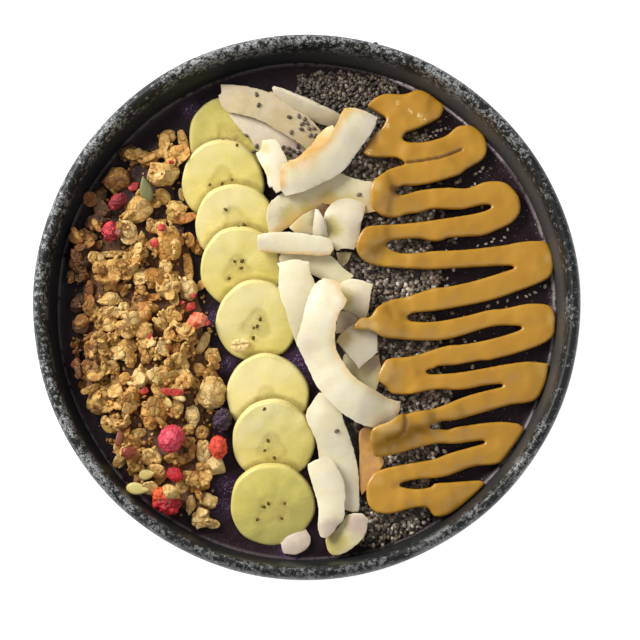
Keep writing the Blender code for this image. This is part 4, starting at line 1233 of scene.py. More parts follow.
def sliver_stamp(name, seed):
    """A slim shard of nut."""
    shard = new_primitive(name, bpy.ops.mesh.primitive_cube_add, size=0.010)
    apply_modifier(shard, "BEVEL", width=0.0020, segments=2)
    apply_modifier(shard, "SUBSURF", levels=1, render_levels=1)
    points = get_points(shard) * np.array([1.0, 0.30, 0.22])
    points[:, 1] += 0.05 * (points[:, 0] / 2) ** 2
    points[:, 1:] *= (1 - 0.03 * np.abs(points[:, 0]) ** 1.4)[:, None]
    push_out(shard, points, 0.3 * grain(points, 2.0, seed))
    return Stamp(shard)


def curl_stamp(name, seed):
    """A flake curled in on itself, with a dimple in its middle."""
    curl = new_primitive(name, bpy.ops.mesh.primitive_torus_add, major_segments=22,
                         minor_segments=8, major_radius=0.0025, minor_radius=0.0026)
    points = get_points(curl)
    angle = polar(points)[1]
    gap = soft_step(0.0, 0.7, np.abs(angle))
    middle = np.column_stack([2.5 * np.cos(angle), 2.5 * np.sin(angle), 0 * angle])
    points = middle + (points - middle) * (0.70 + 0.30 * gap)[:, None]
    points *= np.array([1.0, 0.85, 1.0])
    push_out(curl, points, 0.4 * grain(points, 2.0, seed))
    return Stamp(curl)


def seed_stamp(name):
    """A pumpkin seed: a flat drop with a raised rim."""
    seed = new_primitive(name, bpy.ops.mesh.primitive_uv_sphere_add, segments=18,
                         ring_count=10, radius=0.005)
    points = get_points(seed)
    taper = 0.62 - 0.05 * points[:, 0] - 0.006 * points[:, 0] ** 2
    points[:, 1] *= np.clip(taper, 0.12, 1.0)
    points[:, 2] *= 0.26
    reach = np.hypot(points[:, 0] / 5.0, points[:, 1] / 3.0)
    points[:, 2] *= 1 + 0.35 * soft_step(0.55, 0.8, reach)
    set_points(seed, points)
    return Stamp(seed)


def crumb_stamp(name, seed):
    """A crumb with few faces."""
    crumb = new_primitive(name, bpy.ops.mesh.primitive_ico_sphere_add, subdivisions=2,
                          radius=0.005)
    points = get_points(crumb)
    points = points * (1 + 0.3 * grain(points, 4.0, seed))[:, None] * np.array([1.0, 0.8, 0.6])
    set_points(crumb, points)
    apply_modifier(crumb, "DECIMATE", ratio=0.6)
    return Stamp(crumb)


SNUG = 72


class Heap:
    """The height of the granola as pieces are laid, kept on a square grid."""

    CELL = 0.5
    HALF = 96.0
    CLOSED = 200.0  # the height of cells where no granola may lie
    OPEN = 150.0  # a height that open cells stay under

    def __init__(self, ground):
        count = int(2 * self.HALF / self.CELL) + 1
        steps = np.arange(count) * self.CELL - self.HALF
        self.height = np.full((count, count), self.CLOSED)
        for row, y in enumerate(steps):
            if not -90 < y < 80:
                continue
            for column, x in enumerate(steps):
                if -90 < x < -8 and x * x + y * y < 88.0 ** 2:
                    height, _, name = ground.at(x, y)
                    if not name.startswith(("banana", "coconut")):
                        self.height[row, column] = height

    def cells(self, points):
        """The grid cells under some points."""
        index = np.rint((points[:, :2] + self.HALF) / self.CELL).astype(int)
        index = np.clip(index, 0, len(self.height) - 1)
        return index[:, 1], index[:, 0]

    def rest(self, points, share):
        """How far to lift points so that this percentage of them clears the heap."""
        under = points[points[:, 2] < np.median(points[:, 2])]
        needed = self.height[self.cells(under)] - under[:, 2]
        needed = needed[needed < self.OPEN]
        if len(needed) < 0.8 * len(under):
            return None
        return float(np.percentile(needed, share))

    def lay(self, points):
        """Add points to the heap."""
        np.maximum.at(self.height, self.cells(points), points[:, 2])


OFF_HEAP = 50.0  # where a small piece lies that has no heap under it


def facing(normal, angle):
    """The turn that lays a small piece flat on a surface, spun by an angle."""
    turn = normal.to_track_quat("Z", "Y").to_matrix() @ Matrix.Rotation(angle, 3, "Z")
    return np.array(turn).T


def laid(stamp, x, y, length, width, height, turn, tip=(0.0, 0.0)):
    """A stamp's points at a size, tipped, turned and moved to a place, near height 0."""
    span = np.ptp(stamp.points, axis=0)
    points = stamp.points / span * np.array([length, width, height])
    spin = Euler((math.radians(tip[0]), math.radians(tip[1]), 0.0)).to_matrix()
    spin = Matrix.Rotation(math.radians(turn), 3, "Z") @ spin
    return points @ np.array(spin).T + np.array([x, y, 0.0])


# Granola pieces that stand out: kind, x, y, length, width, turn, tone (0 cream, 1 dark; dim pieces in the
# wall's shadow get darker tones as painted shade), warmth
GRANOLA = [
    ("curl", -50.0, 62.0, 6.6, 5.4, 20, 0.24, 0.2), ("sliver", -44.2, 60.0, 9.5, 3.6, 100, 0.30, 0.3),
    ("crumbly", -51.0, 55.5, 9.5, 7.6, 30, 0.38, 0.2), ("round", -51.0, 48.0, 12.2, 9.6, 10, 0.24, 0.35),
    ("nugget", -43.6, 46.6, 3.8, 3.0, 0, 0.15, 0.3), ("nugget", -64.0, 56.0, 7.2, 6.4, 50, 0.72, 0.3),
    ("block", -68.0, 46.4, 10.4, 9.0, 25, 0.50, 0.4), ("nugget", -73.5, 41.0, 6.6, 5.6, 60, 0.58, 0.3),
    ("block", -59.5, 35.2, 10.2, 10.0, 8, 0.16, 0.4), ("crumbly", -46.6, 34.2, 9.0, 8.0, 80, 0.30, 0.3),
    ("sliver", -43.2, 32.0, 8.5, 3.6, 12, 0.42, 0.9), ("nugget", -75.0, 30.6, 8.6, 7.0, 20, 0.62, 0.2),
    ("curl", -59.0, 22.6, 7.4, 6.4, 140, 0.42, 0.3), ("sliver", -69.0, 19.4, 10.6, 2.4, 4, 0.22, 0.3),
    ("block", -79.0, 19.6, 9.8, 8.8, 60, 0.82, 0.35), ("block", -49.2, 22.0, 10.8, 10.2, 84, 0.28, 0.75),
    ("sliver", -42.0, 14.8, 10.4, 3.4, 96, 0.34, 0.6), ("nugget", -38.6, 14.4, 3.8, 3.4, 30, 0.08, 0.0),
    ("crumbly", -68.0, 12.0, 14.2, 12.0, 20, 0.40, 0.4), ("nugget", -58.2, 11.0, 7.4, 6.6, 70, 0.20, 0.3),
    ("nugget", -61.5, 15.0, 6.0, 4.6, 100, 0.24, 0.3), ("nugget", -73.0, 15.0, 7.0, 5.6, 60, 0.34, 0.4),
    ("round", -49.0, 7.4, 10.0, 9.0, 90, 0.22, 0.35), ("round", -42.2, 7.0, 9.2, 6.6, 100, 0.16, 0.2),
    ("oval", -70.0, 3.2, 8.8, 5.6, 8, 0.18, 0.3), ("sliver", -55.0, 3.8, 7.0, 2.8, 4, 0.46, 1.0),
    ("sliver", -77.2, 6.0, 8.4, 3.2, 80, 0.52, 1.0), ("nugget", -81.0, 2.0, 8.0, 6.2, 84, 0.70, 0.2),
    ("curl", -64.6, -1.0, 6.6, 4.6, 90, 0.16, 0.3), ("nugget", -57.4, -1.6, 9.0, 7.6, 30, 0.46, 0.7),
    ("nugget", -79.6, -6.0, 7.0, 6.4, 20, 0.58, 0.3), ("nugget", -71.5, -5.0, 7.6, 6.2, 40, 0.30, 0.3),
    ("nugget", -57.0, -8.2, 7.4, 6.6, 60, 0.28, 0.4), ("crumbly", -48.6, -4.0, 9.8, 8.2, 84, 0.24, 0.35),
    ("round", -63.4, -7.6, 8.0, 7.6, 20, 0.32, 0.5), ("nugget", -43.4, -8.0, 8.2, 6.4, 150, 0.52, 0.7),
    ("flake", -63.0, -13.6, 8.4, 6.0, 10, 0.34, 0.5), ("round", -71.8, -17.2, 9.4, 7.4, 84, 0.30, 0.3),
    ("crumbly", -63.0, -18.4, 6.6, 5.8, 0, 0.26, 0.4), ("crumbly", -54.4, -16.4, 9.6, 8.0, 60, 0.30, 0.4),
    ("star", -44.6, -17.6, 13.0, 9.4, 60, 0.28, 0.35), ("sliver", -36.6, -12.4, 8.8, 3.6, 62, 0.20, 0.2),
    ("nugget", -33.2, -16.8, 5.8, 6.2, 30, 0.20, 0.3), ("nugget", -43.0, -25.0, 8.6, 7.2, 80, 0.22, 0.5),
    ("crumbly", -58.0, -25.2, 10.6, 9.4, 30, 0.10, 0.3), ("nugget", -49.6, -23.6, 7.8, 6.0, 100, 0.30, 0.6),
    ("round", -33.4, -30.0, 12.6, 11.0, 80, 0.16, 0.35), ("flake", -37.8, -21.6, 6.0, 4.2, 150, 0.40, 0.3),
    ("nugget", -66.2, -26.0, 7.4, 6.6, 0, 0.42, 0.4), ("round", -53.0, -36.6, 11.2, 9.4, 20, 0.34, 0.8),
    ("round", -71.8, -33.0, 12.2, 9.4, 14, 0.30, 0.2), ("crumbly", -62.4, -35.4, 9.0, 7.0, 80, 0.32, 0.4),
    ("oval", -40.2, -38.6, 8.6, 5.6, 100, 0.06, 0.1), ("nugget", -46.0, -35.6, 6.2, 6.0, 40, 0.30, 0.4),
    ("flake", -59.2, -44.4, 6.6, 4.0, 12, 0.18, 0.3), ("nugget", -66.4, -40.4, 8.4, 7.4, 120, 0.52, 0.1),
    ("curl", -36.8, -44.2, 5.6, 5.0, 60, 0.44, 0.3), ("curl", -36.2, -51.0, 9.0, 5.6, 90, 0.10, 0.15),
    ("crumbly", -55.4, -52.0, 10.4, 7.8, 170, 0.26, 0.3), ("flake", -43.0, -53.2, 8.6, 4.0, 22, 0.50, 0.1),
    ("oval", -31.8, -56.2, 8.4, 7.2, 150, 0.03, 0.1), ("oval", -55.8, -57.4, 6.6, 4.2, 14, 0.30, 0.0),
    ("flake", -51.6, -60.6, 6.8, 3.0, 40, 0.34, 0.2), ("block", -38.4, -61.6, 9.6, 8.0, 150, 0.48, 0.8),
    ("oval", -40.6, -69.6, 3.6, 7.6, 170, 0.16, 0.2), ("round", -34.4, -68.0, 6.6, 6.6, 20, 0.18, 0.2),
    ("crumbly", -35.2, -74.6, 10.4, 8.0, 170, 0.14, 0.2), ("crumbly", -44.0, -1.0, 5.4, 4.0, 30, 0.5, 0.5),
    ("nugget", -36.4, -56.6, 5.6, 4.6, 10, 0.40, 0.4), ("nugget", -47.6, -29.0, 6.0, 5.0, 0, 0.36, 0.5),
    ("nugget", -61.0, -30.0, 5.6, 5.2, 50, 0.34, 0.4), ("nugget", -76.4, -24.0, 7.6, 6.4, 90, 0.60, 0.3),
    ("oval", -46.8, -65.2, 7.4, 5.2, 150, 0.20, 0.3), ("nugget", -54.0, 29.0, 6.2, 5.2, 20, 0.42, 0.3),
    ("nugget", -41.2, -47.6, 5.2, 4.6, 30, 0.34, 0.4), ("nugget", -41.2, -42.8, 4.8, 4.4, 60, 0.26, 0.5),
    ("nugget", -65.0, 28.0, 5.4, 4.6, 0, 0.55, 0.3),
]
# The edge of the granola heap
HEAP_OUTLINE = [
    (-36, -79), (-50, -70), (-60, -60), (-70, -50), (-77, -36), (-82, -20), (-84, -4),
    (-84, 12), (-83, 24), (-80, 36), (-74, 46), (-66, 56), (-54, 63), (-44, 64), (-43, 52),
    (-44, 42), (-40, 34), (-38, 24), (-37, 12), (-36, 2), (-32, -8), (-31, -18), (-29, -26),
    (-29, -36), (-29.5, -46), (-29, -55), (-34, -60), (-32, -66), (-32, -76),
]


OAT_SIZE = 2.9


def toasted():
    """Toasted oats pressed together: cream to brown from piece to piece and grain to grain."""
    finish = Finish("toasted_granola")
    tone = finish.value("tone")
    warm = finish.value("warm")
    patch = finish.noise(3.0, 2.0)
    fine = finish.noise(0.7, 4.0, 0.7)
    bent = finish.node("ShaderNodeVectorMath", {"operation": "ADD"}, {
        0: finish.place, 1: finish.multiply(finish.noise(1.5, 2.0, 0.5, output=1), 0.0011)})
    oats = {"Vector": bent, "Scale": 1 / (OAT_SIZE * MM)}
    grains = finish.node("ShaderNodeTexVoronoi", {"feature": "F1"}, oats, "Color")
    grain_tone = finish.split(grains)[0]
    seams = finish.node("ShaderNodeTexVoronoi", {"feature": "DISTANCE_TO_EDGE"}, oats)
    # Painted shade: the seams between the oat grains are darkened.
    crevice = 1 - finish.step(seams, 0.0, 0.11)
    freckle = finish.step(finish.noise(0.6, 2.0, 0.6), 0.62, 0.72)
    level = (tone + 0.24 * (patch - 0.5) + 0.20 * (fine - 0.5) + 0.20 * (grain_tone - 0.5)
             + 0.15 * crevice + 0.12 * freckle)
    plain = finish.ramp(level, (0.0, (0.87, 0.63, 0.270)), (0.25, (0.66, 0.395, 0.104)),
                        (0.50, (0.40, 0.190, 0.039)), (0.75, (0.20, 0.088, 0.026)),
                        (1.0, (0.085, 0.036, 0.018)))
    amber = finish.ramp(level, (0.0, (0.88, 0.53, 0.165)), (0.25, (0.69, 0.330, 0.062)),
                        (0.50, (0.47, 0.170, 0.024)), (0.75, (0.25, 0.082, 0.015)),
                        (1.0, (0.10, 0.034, 0.014)))
    color = finish.mix(finish.step(warm + 0.7 * (patch - 0.5), 0.25, 1.0), plain, amber)
    normal = finish.bump(fine, 0.36, finish.bump(finish.step(seams, 0.0, 0.22), 0.34))
    return finish.done(Base_Color=color, Roughness=0.50 + 0.25 * fine, Normal=normal,
                       Subsurface_Weight=0.12, Subsurface_Radius=(0.0016, 0.0008, 0.0003),
                       Subsurface_Scale=1.0)


def dark_crumbs():
    """The shaded fine stuff between the pieces of granola."""
    finish = Finish("granola_dust_and_shade")
    fine = finish.noise(1.2, 4.0, 0.7)
    color = finish.ramp(fine, (0.30, (0.016, 0.007, 0.010)), (0.54, (0.040, 0.016, 0.012)),
                        (0.74, (0.20, 0.085, 0.022)))
    # Painted shade with dust: darker above y 34 mm than below y 18 mm.
    y = finish.split(finish.place)[1]
    deep = finish.ramp(fine, (0.30, (0.050, 0.018, 0.008)), (0.55, (0.130, 0.050, 0.014)),
                       (0.74, (0.34, 0.15, 0.040)))
    color = finish.mix(finish.step(y, 0.034, 0.018), color, deep)
    return finish.done(Base_Color=color, Roughness=0.75, Normal=finish.bump(fine, 0.5))


CORE_VOXEL = 0.9


def make_heap_core():
    """The heap's core: lower and smaller than the heap, rough with dust, and dark as painted shade between
    the pieces.
    """
    core = merged_copy("granola_heap", "granola_core")
    remesh(core, CORE_VOXEL)
    points = get_points(core)
    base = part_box("granola_heap")[0].z / MM
    middle = np.array([-56.0, -8.0])
    lift = np.clip(points[:, 2] - base, 0.0, None)
    points[:, :2] = middle + (points[:, :2] - middle) * np.array([0.86, 0.93])
    relief = 0.6 * grain(points, 3.0) + 0.4 * grain(points, 1.4)
    span = span_to_outline(points, np.array(HEAP_OUTLINE, float)).min(axis=1)
    slope = soft_step(1.0, 6.0, span + 3.0 * relief)
    points[:, 2] = base - 0.6 + lift * 0.42 * slope + relief * (0.2 + 0.8 * slope)
    set_points(core, points)
    smooth_faces(core)
    return serve(core, dark_crumbs(), ["granola_heap"])


def inside_outline(x, y, outline):
    """Whether a place lies inside a closed outline."""
    inside = False
    for (x0, y0), (x1, y1) in zip(outline, outline[1:] + outline[:1]):
        if (y0 > y) != (y1 > y) and x < x0 + (y - y0) * (x1 - x0) / (y1 - y0):
            inside = not inside
    return inside


# Small pieces laid on the heap: x, y, length, width, turn
PUMPKIN_SEEDS = [
    (-57.0, 42.0, 9.6, 4.8, 102), (-58.6, -63.8, 8.4, 4.4, -6), (-55.8, -58.8, 6.0, 4.0, 10),
]
BERRY_BITS = [
    (-56.9, -29.6, 3.4, 2.2, 20), (-46.8, -30.0, 8.4, 2.6, -6), (-41.0, 0.4, 4.4, 2.8, 30),
    (-44.0, 1.6, 2.6, 1.8, 0), (-47.9, 51.8, 2.4, 1.4, 0), (-50.9, 28.0, 3.4, 3.0, 60),
    (-53.4, 22.5, 3.4, 2.8, 20), (-81.2, -19.8, 4.0, 3.0, 50), (-66.0, 26.0, 3.2, 2.4, 100),
    (-61.5, 43.6, 4.4, 3.2, 30), (-61.8, -51.2, 5.6, 4.8, 20), (-46.0, -77.4, 4.0, 2.2, 170),
    (-65.4, -46.2, 5.4, 2.4, 80), (-40.0, 4.4, 2.2, 1.6, 0), (-55.0, -10.4, 2.4, 1.6, 40),
    (-34.8, -5.4, 2.6, 2.0, 80),
]


def pumpkin_skin():
    """Hulled pumpkin seed: grey green veins, warmer in streaks, and darker on some seeds."""
    finish = Finish("pumpkin_seed_skin")
    middle = finish.value("tone")
    veins = finish.noise(0.9, 3.0, 0.6)
    color = finish.mix(veins, (0.42, 0.420, 0.120), (0.62, 0.600, 0.240))
    color = finish.mix(finish.value("warm") * finish.step(veins, 0.4, 0.6), color,
                       (0.78, 0.480, 0.140))
    color = finish.mix(0.85 * middle, color, (0.070, 0.072, 0.032))
    return finish.done(Base_Color=color, Roughness=0.40 + 0.2 * veins,
                       Normal=finish.bump(veins, 0.1))


def berry_skin():
    """Broken dried berry: wet looking reds."""
    finish = Finish("dried_berry_bits")
    patch = finish.noise(1.4, 3.0, 0.6)
    color = finish.mix(finish.step(patch, 0.35, 0.65), (0.30, 0.012, 0.014), (0.64, 0.065, 0.035))
    # Painted shade: the tone darkens the bits that lie in shade.
    color = finish.mix(finish.value("tone"), color,
                       finish.mix(patch, (0.13, 0.022, 0.012), (0.27, 0.080, 0.030)))
    return finish.done(Base_Color=color, Roughness=0.30 + 0.3 * patch,
                       Normal=finish.bump(patch, 0.2))


def lay_small(name, stamps, places, heap, height_share, tones):
    """Small pieces laid one by one on the heap, joined."""
    rng = np.random.default_rng(31)
    scatter = Scatter(name)
    for index, (x, y, length, width, turn) in enumerate(places):
        stamp = stamps[index % len(stamps)]
        points = laid(stamp, x, y, length, width, min(length, width) * height_share, turn,
                      rng.uniform(-12, 12, 2))
        under = heap.height[heap.cells(points)]
        under = under[under < heap.OPEN]
        top = np.percentile(under, 80) if len(under) else OFF_HEAP
        points[:, 2] += top - points[:, 2].min() - 0.3
        heap.lay(points)
        scatter.add(stamp, points, *tones[index % len(tones)])
    return scatter.made()


def make_granola(ground, fruit_places):
    """The heap: large pieces where they lie, smaller ones between them, then flakes and crumbs."""
    rng = np.random.default_rng(11)
    kinds = {
        "nugget": [chunk_stamp("nugget", s, 700, 0.45) for s in (1, 2, 3, 24)],
        "crumbly": [cluster_stamp("crumbly", s, 20, 3.4, 4.2, 1700, 0.22) for s in (4, 5, 25)],
        "round": [chunk_stamp("round", s, 1000, 0.75) for s in (6, 7, 26)],
        "star": [cluster_stamp("star", 8, 12, 4.2, 4.8, 1500, 0.2)],
        "block": [chunk_stamp("block", s, 1000, 0.35, (1.0, 0.95, 0.85)) for s in (9, 10, 27)],
        "oval": [chunk_stamp("oval", 12, 600, 0.2, (1.0, 0.8, 0.7))],
        "flake": [flake_stamp("flake", 13, 0.6), flake_stamp("flake", 14, -0.5),
                  flake_stamp("flake", 15, 1.4, 0.3)],
        "sliver": [sliver_stamp("sliver", s) for s in (16, 17)],
        "curl": [curl_stamp("curl", s) for s in (18, 19)],
        "crumb": [crumb_stamp("crumb", s) for s in (20, 21, 22)],
    }
    heap = Heap(ground)
    pieces = {name: Scatter(name) for name in
              ("granola_clusters", "granola_nuggets", "oat_flakes", "granola_crumbs")}

    def put(scatter, kind, x, y, length, width, height, turn, tone, warm, tip, ceiling=70.0,
            share=SNUG):
        stamp = kinds[kind][rng.integers(len(kinds[kind]))]
        points = laid(stamp, x, y, length, width, height, turn, tip)
        lift = heap.rest(points, share)
        if lift is None or lift + points[:, 2].max() > ceiling:
            return
        points[:, 2] += lift
        heap.lay(points)
        # Painted shade: darker tones for pieces near the left wall and in the upper left.
        tone += 0.33 * float(soft_step(68.0, 80.0, -x)) + (0.12 if y > 30 and x < -55 else 0.0)
        pieces[scatter].add(stamp, points, tone, warm)

    loose_oat = flake_stamp("loose_oat", 29, 0.15, 1.5, 3)
    stray = laid(loose_oat, -23.4, -13.1, 7.2, 4.7, 1.5, 5)
    rest_on = max(ground.at(x, y)[0] for x, y in stray[::5, :2])
    stray[:, 2] += rest_on - stray[:, 2].min() - 0.35
    pieces["oat_flakes"].add(loose_oat, stray, -0.12, 0.1)

    plumpness = {"flake": 0.5, "sliver": 0.5, "curl": 0.45}
    for kind, x, y, length, width, turn, tone, warm in GRANOLA:
        height = min(length, width) * plumpness.get(kind, 0.75)
        tip = rng.uniform(-14, 14, 2)
        put("granola_clusters", kind, x, y, length, width, height, turn, tone - 0.05, warm, tip)

    kept_clear = fruit_places + [
        (x, y, 0.33 * max(length, width)) for kind, x, y, length, width, _, tone, _ in GRANOLA
        if kind in ("flake", "sliver", "oval") or tone < 0.19]

    def clear_of_fruit(x, y, room):
        return all(math.hypot(x - fx, y - fy) > reach + room for fx, fy, reach in kept_clear)

    def sprinkle(scatter, kinds_used, tries, sizes, ceiling, tones, room, share=SNUG):
        for _ in range(tries):
            x = rng.uniform(-86, -26)
            y = rng.uniform(-80, 66)
            kind = kinds_used[rng.integers(len(kinds_used))]
            length = rng.uniform(*sizes)
            width = length * rng.uniform(0.62, 0.95)
            turn = rng.uniform(0, 360)
            tip = rng.uniform(-35, 35, 2)
            tone = rng.uniform(*tones)
            warm = rng.uniform(0.1, 0.8)
            crowd = 0.26 if y > 30 else 0.6 if y < -58 or x < -76 else 1.0
            if (not inside_outline(x, y, HEAP_OUTLINE) or not clear_of_fruit(x, y, room)
                    or rng.uniform() > crowd):
                continue
            height = width * (0.78 if kind in ("nugget", "crumbly", "crumb") else 0.22)
            if kind == "sliver":
                width = length * 0.36
                height = width * 0.8
            put(scatter, kind, x, y, length, width, height, turn, tone, warm, tip, ceiling, share)

    sprinkle("granola_nuggets", ["nugget", "oval", "crumbly"], 430, (3.8, 7.4), 55.0,
             (0.18, 0.62), 1.2, 60)
    sprinkle("oat_flakes", ["flake", "flake", "flake", "sliver"], 420, (4.2, 7.6), 57.6,
             (0.04, 0.42), 0.8)
    sprinkle("granola_crumbs", ["crumb"], 1200, (0.8, 1.9), 57.4, (0.12, 0.55), 0.2)

    finish = toasted()
    for scatter in pieces.values():
        serve(scatter.made(), finish)
    seeds = lay_small("pumpkin_seeds", [seed_stamp("pumpkin_seed")], PUMPKIN_SEEDS, heap, 0.42,
                      [(0.85, 0.1), (0.0, 0.70), (0.1, 0.85)])
    # The berry bits' tones are painted shade: dark left of x -62 mm, mostly dark below y -50 mm.
    bits = lay_small("berry_bits", kinds["sliver"] + kinds["nugget"], BERRY_BITS, heap, 0.5, [
        (1.0 if place[0] < -62 else 0.75 if place[1] < -50 else 0.0, 0.5)
        for place in BERRY_BITS])
    serve(seeds, pumpkin_skin())
    serve(bits, berry_skin())


# Fruit pieces: name, light and dark colour, how lumpy, the size of the lumps, how angular
FRUIT = {
    "raspberry": ("dried_raspberry", (0.78, 0.085, 0.125), (0.46, 0.010, 0.032), 0.38, 1.1, 0.0),
    "goji_berry": ("goji_berry_half", (0.84, 0.090, 0.035), (0.55, 0.03, 0.012), 0.4, 1.6, 0.75),
    "cherry_piece": ("dried_cherry", (0.70, 0.018, 0.034), (0.36, 0.006, 0.014), 0.16, 2.6, 1.0),
    "strawberry_chunk": ("dried_strawberry", (0.60, 0.014, 0.024), (0.22, 0.005, 0.010), 1.3,
                         3.4, 0.9),
    "papaya_piece": ("papaya_cube", (0.88, 0.300, 0.150), (0.66, 0.070, 0.035), 0.5, 2.6, 0.85),
    "cranberry": ("dried_cranberry", (0.38, 0.016, 0.024), (0.15, 0.006, 0.010), 0.4, 1.8, 0.6),
    "red_berry": ("red_berry_piece", (0.70, 0.045, 0.055), (0.26, 0.01, 0.016), 0.6, 1.3, 0.5),
    "acai_lump": ("frozen_acai_lump", (0.055, 0.018, 0.045), (0.020, 0.007, 0.018), 0.7, 1.8, 0.6),
}


def fruit_flesh(name, light, dark, frosted):
    """Dried or frozen fruit: two reds, with powdery specks."""
    finish = Finish(name)
    patch = finish.noise(2.6, 3.0, 0.6)
    fine = finish.noise(0.6, 3.0, 0.6)
    specks = finish.step(finish.noise(0.55, 2.0), 0.66, 0.72)
    color = finish.mix(finish.step(patch, 0.36, 0.62), dark, light)
    pits = finish.step(finish.noise(1.0, 2.0, 0.6), 0.60, 0.68)
    color = finish.mix(finish.value("tip"), color, (0.84, 0.115, 0.020))
    color = finish.mix(0.45 * pits, color, dark)
    # Painted shade: the dark hollow in the strawberry's middle.
    color = finish.mix(0.6 * finish.value("hollow_shade"), color, (0.14, 0.006, 0.007))
    color = finish.mix(specks * frosted, color, tuple(0.45 + 0.5 * c for c in light))
    return finish.done(Base_Color=color, Roughness=0.42 + 0.28 * fine,
                       Normal=finish.bump(fine, 0.4))


def make_fruit():
    """Each fruit piece: its frame solid made finer and given its own surface."""
    made = []
    for node, (name, light, dark, bump, size, angular) in FRUIT.items():
        piece = merged_copy(node, name)
        crease = piece.data.attributes.new("crease_edge", "FLOAT", "EDGE")
        crease.data.foreach_set("value", np.full(len(piece.data.edges), angular))
        size_before = np.ptp(get_points(piece), axis=0)
        apply_modifier(piece, "SUBSURF", levels=3, render_levels=3)
        points = get_points(piece)
        middle = (points.min(axis=0) + points.max(axis=0)) / 2
        points = middle + (points - middle) * size_before / np.ptp(points, axis=0)
        set_points(piece, points)
        lumps = np.abs(grain(points, size, 4.0)) - 0.25
        push_out(piece, points, bump * (1.6 * lumps + 0.4 * grain(points, 0.8)))
        smooth_faces(piece)
        tip, hollow_shade = np.zeros((2, len(points)))
        if node == "strawberry_chunk":
            x, y, _ = ((points - middle) / np.ptp(points[:, 0])).T
            tip = soft_step(0.0, 0.35, y - 0.5 * x + 0.12 * grain(points, 3.0))
            # The hollow is painted shade only; the surface has no dent there.
            ring = np.hypot(x - 0.05, 2 * y)
            hollow_shade = 1 - soft_step(0.10, 0.26, ring + 0.22 * grain(points, 1.8, 6.0))
            set_points(piece, middle + (get_points(piece) - middle) * np.array([1.0, 1.1, 1.0])
                       + np.array([0.5, -1.0, 0.2]))
        set_values(piece, "tip", tip)
        set_values(piece, "hollow_shade", hollow_shade)
        frosted = 0.7 if node in ("raspberry", "acai_lump", "red_berry") else 0.25
        made.append(serve(piece, fruit_flesh(name + "_skin", light, dark, frosted), [node]))
    return made


# The edge of the chia bed
CHIA_OUTLINE = [
    (-3.6, 80), (-2.6, 84.5), (0, 87.6), (9, 87), (18, 85.6), (26, 83.6), (32.6, 81.6),
    (34, 76), (37, 66), (44, 60), (38, 46), (46, 35), (44, 24),
    (49, 12), (44, 2), (48, -10), (46, -20), (52, -30), (48, -41), (46, -52), (43, -63),
    (44.6, -73), (40, -78.4), (30, -82.6), (20, -85.8), (10, -80), (14, -70), (19.6, -66),
    (19.6, -48), (14, -36), (12, -30), (17.4, -22), (17, -10), (9, -4), (7, 8), (8, 24),
    (-2, 44), (1, 62), (-5, 76),
]
# Chia seeds that lie apart: on the coconut chips, on the slices and on the lip
LOOSE_SEEDS = [
    (-17.8, 76.4), (-17.0, 72.4), (-6.1, 68.2), (-2.7, 68.7), (-0.5, 67.5), (-1.5, 65.8),
    (-1.8, 63.9), (-5.4, 62.8), (0.9, 64.2), (2.7, 64.3), (1.4, 61.8), (3.2, 61.6),
    (0.3, 66.1), (-21.5, 62.1), (-17.9, 58.4), (-18.9, 56.7), (-8.3, 57.8), (-7.2, 56.0),
    (-5.8, 55.5), (-3.1, 58.2), (-2.8, 56.0), (-4.4, 53.5), (-6.1, 57.5), (-4.7, 56.7),
    (18.7, 40.2), (10.8, -43.6), (24.6, 93.4), (35.0, -87.6), (19.2, 91.6),
]
# Pale seeds on the acai beside the drizzle
PALE_SEEDS = [
    (67.1, 25.2), (69.9, 24.5), (72.1, 28.7), (64.3, 23.4), (61.4, 22.7), (53.3, 25.5),
    (78.5, 4.6), (81.7, 6.0), (85.3, 8.1), (75.4, 4.2), (71.8, 3.1), (68.3, 2.4), (64.8, 1.0),
    (56.3, -2.9), (50.1, 20.9), (56.6, -11.9), (60.1, -11.5), (52.6, 14.2), (50.4, 11.0),
    (62.4, 49.7), (60.8, 48.9), (63.4, 51.0), (54.3, 45.8), (60.6, 45.1), (36, 60.5), (38, 60.1),
    (37.5, 61.4), (39.4, 62), (40.5, 61), (41.7, 62.5), (43, 63), (44.6, 62.4), (45.6, 64),
    (47, 64.6), (46.6, 62.8), (48.5, 64.8), (41.2, 60.2), (43.7, 61.2), (50.2, 65.4),
    (66.4, 24.2), (79.8, 5.2), (71.0, 25.8),
]


def chia_skin():
    """Chia seeds: mottled grey and brown, some black, a few pale, with a soft shine."""
    finish = Finish("chia_seed_skin")
    tone = finish.value("tone")
    warm = finish.value("warm")
    marks = finish.noise(0.42, 2.0, 0.6)
    level = tone + 0.22 * (marks - 0.5)
    cool = finish.ramp(level, (0.0, (0.024, 0.019, 0.017)), (0.40, (0.092, 0.078, 0.062)),
                       (0.75, (0.24, 0.21, 0.17)), (1.0, (0.66, 0.62, 0.54)))
    brown = finish.ramp(level, (0.0, (0.026, 0.016, 0.011)), (0.40, (0.105, 0.068, 0.038)),
                        (0.75, (0.27, 0.195, 0.115)), (1.0, (0.66, 0.56, 0.40)))
    return finish.done(Base_Color=finish.mix(warm, cool, brown), Roughness=0.32 + 0.25 * marks,
                       Normal=finish.bump(marks, 0.05))


def chia_bed_skin():
    """What shows between the seeds of the bed."""
    finish = Finish("chia_bed_shade")
    marks = finish.noise(1.1, 3.0, 0.6)
    color = finish.mix(finish.step(marks, 0.4, 0.7), (0.017, 0.013, 0.013), (0.075, 0.062, 0.050))
    return finish.done(Base_Color=color, Roughness=0.5, Normal=finish.bump(marks, 0.4))


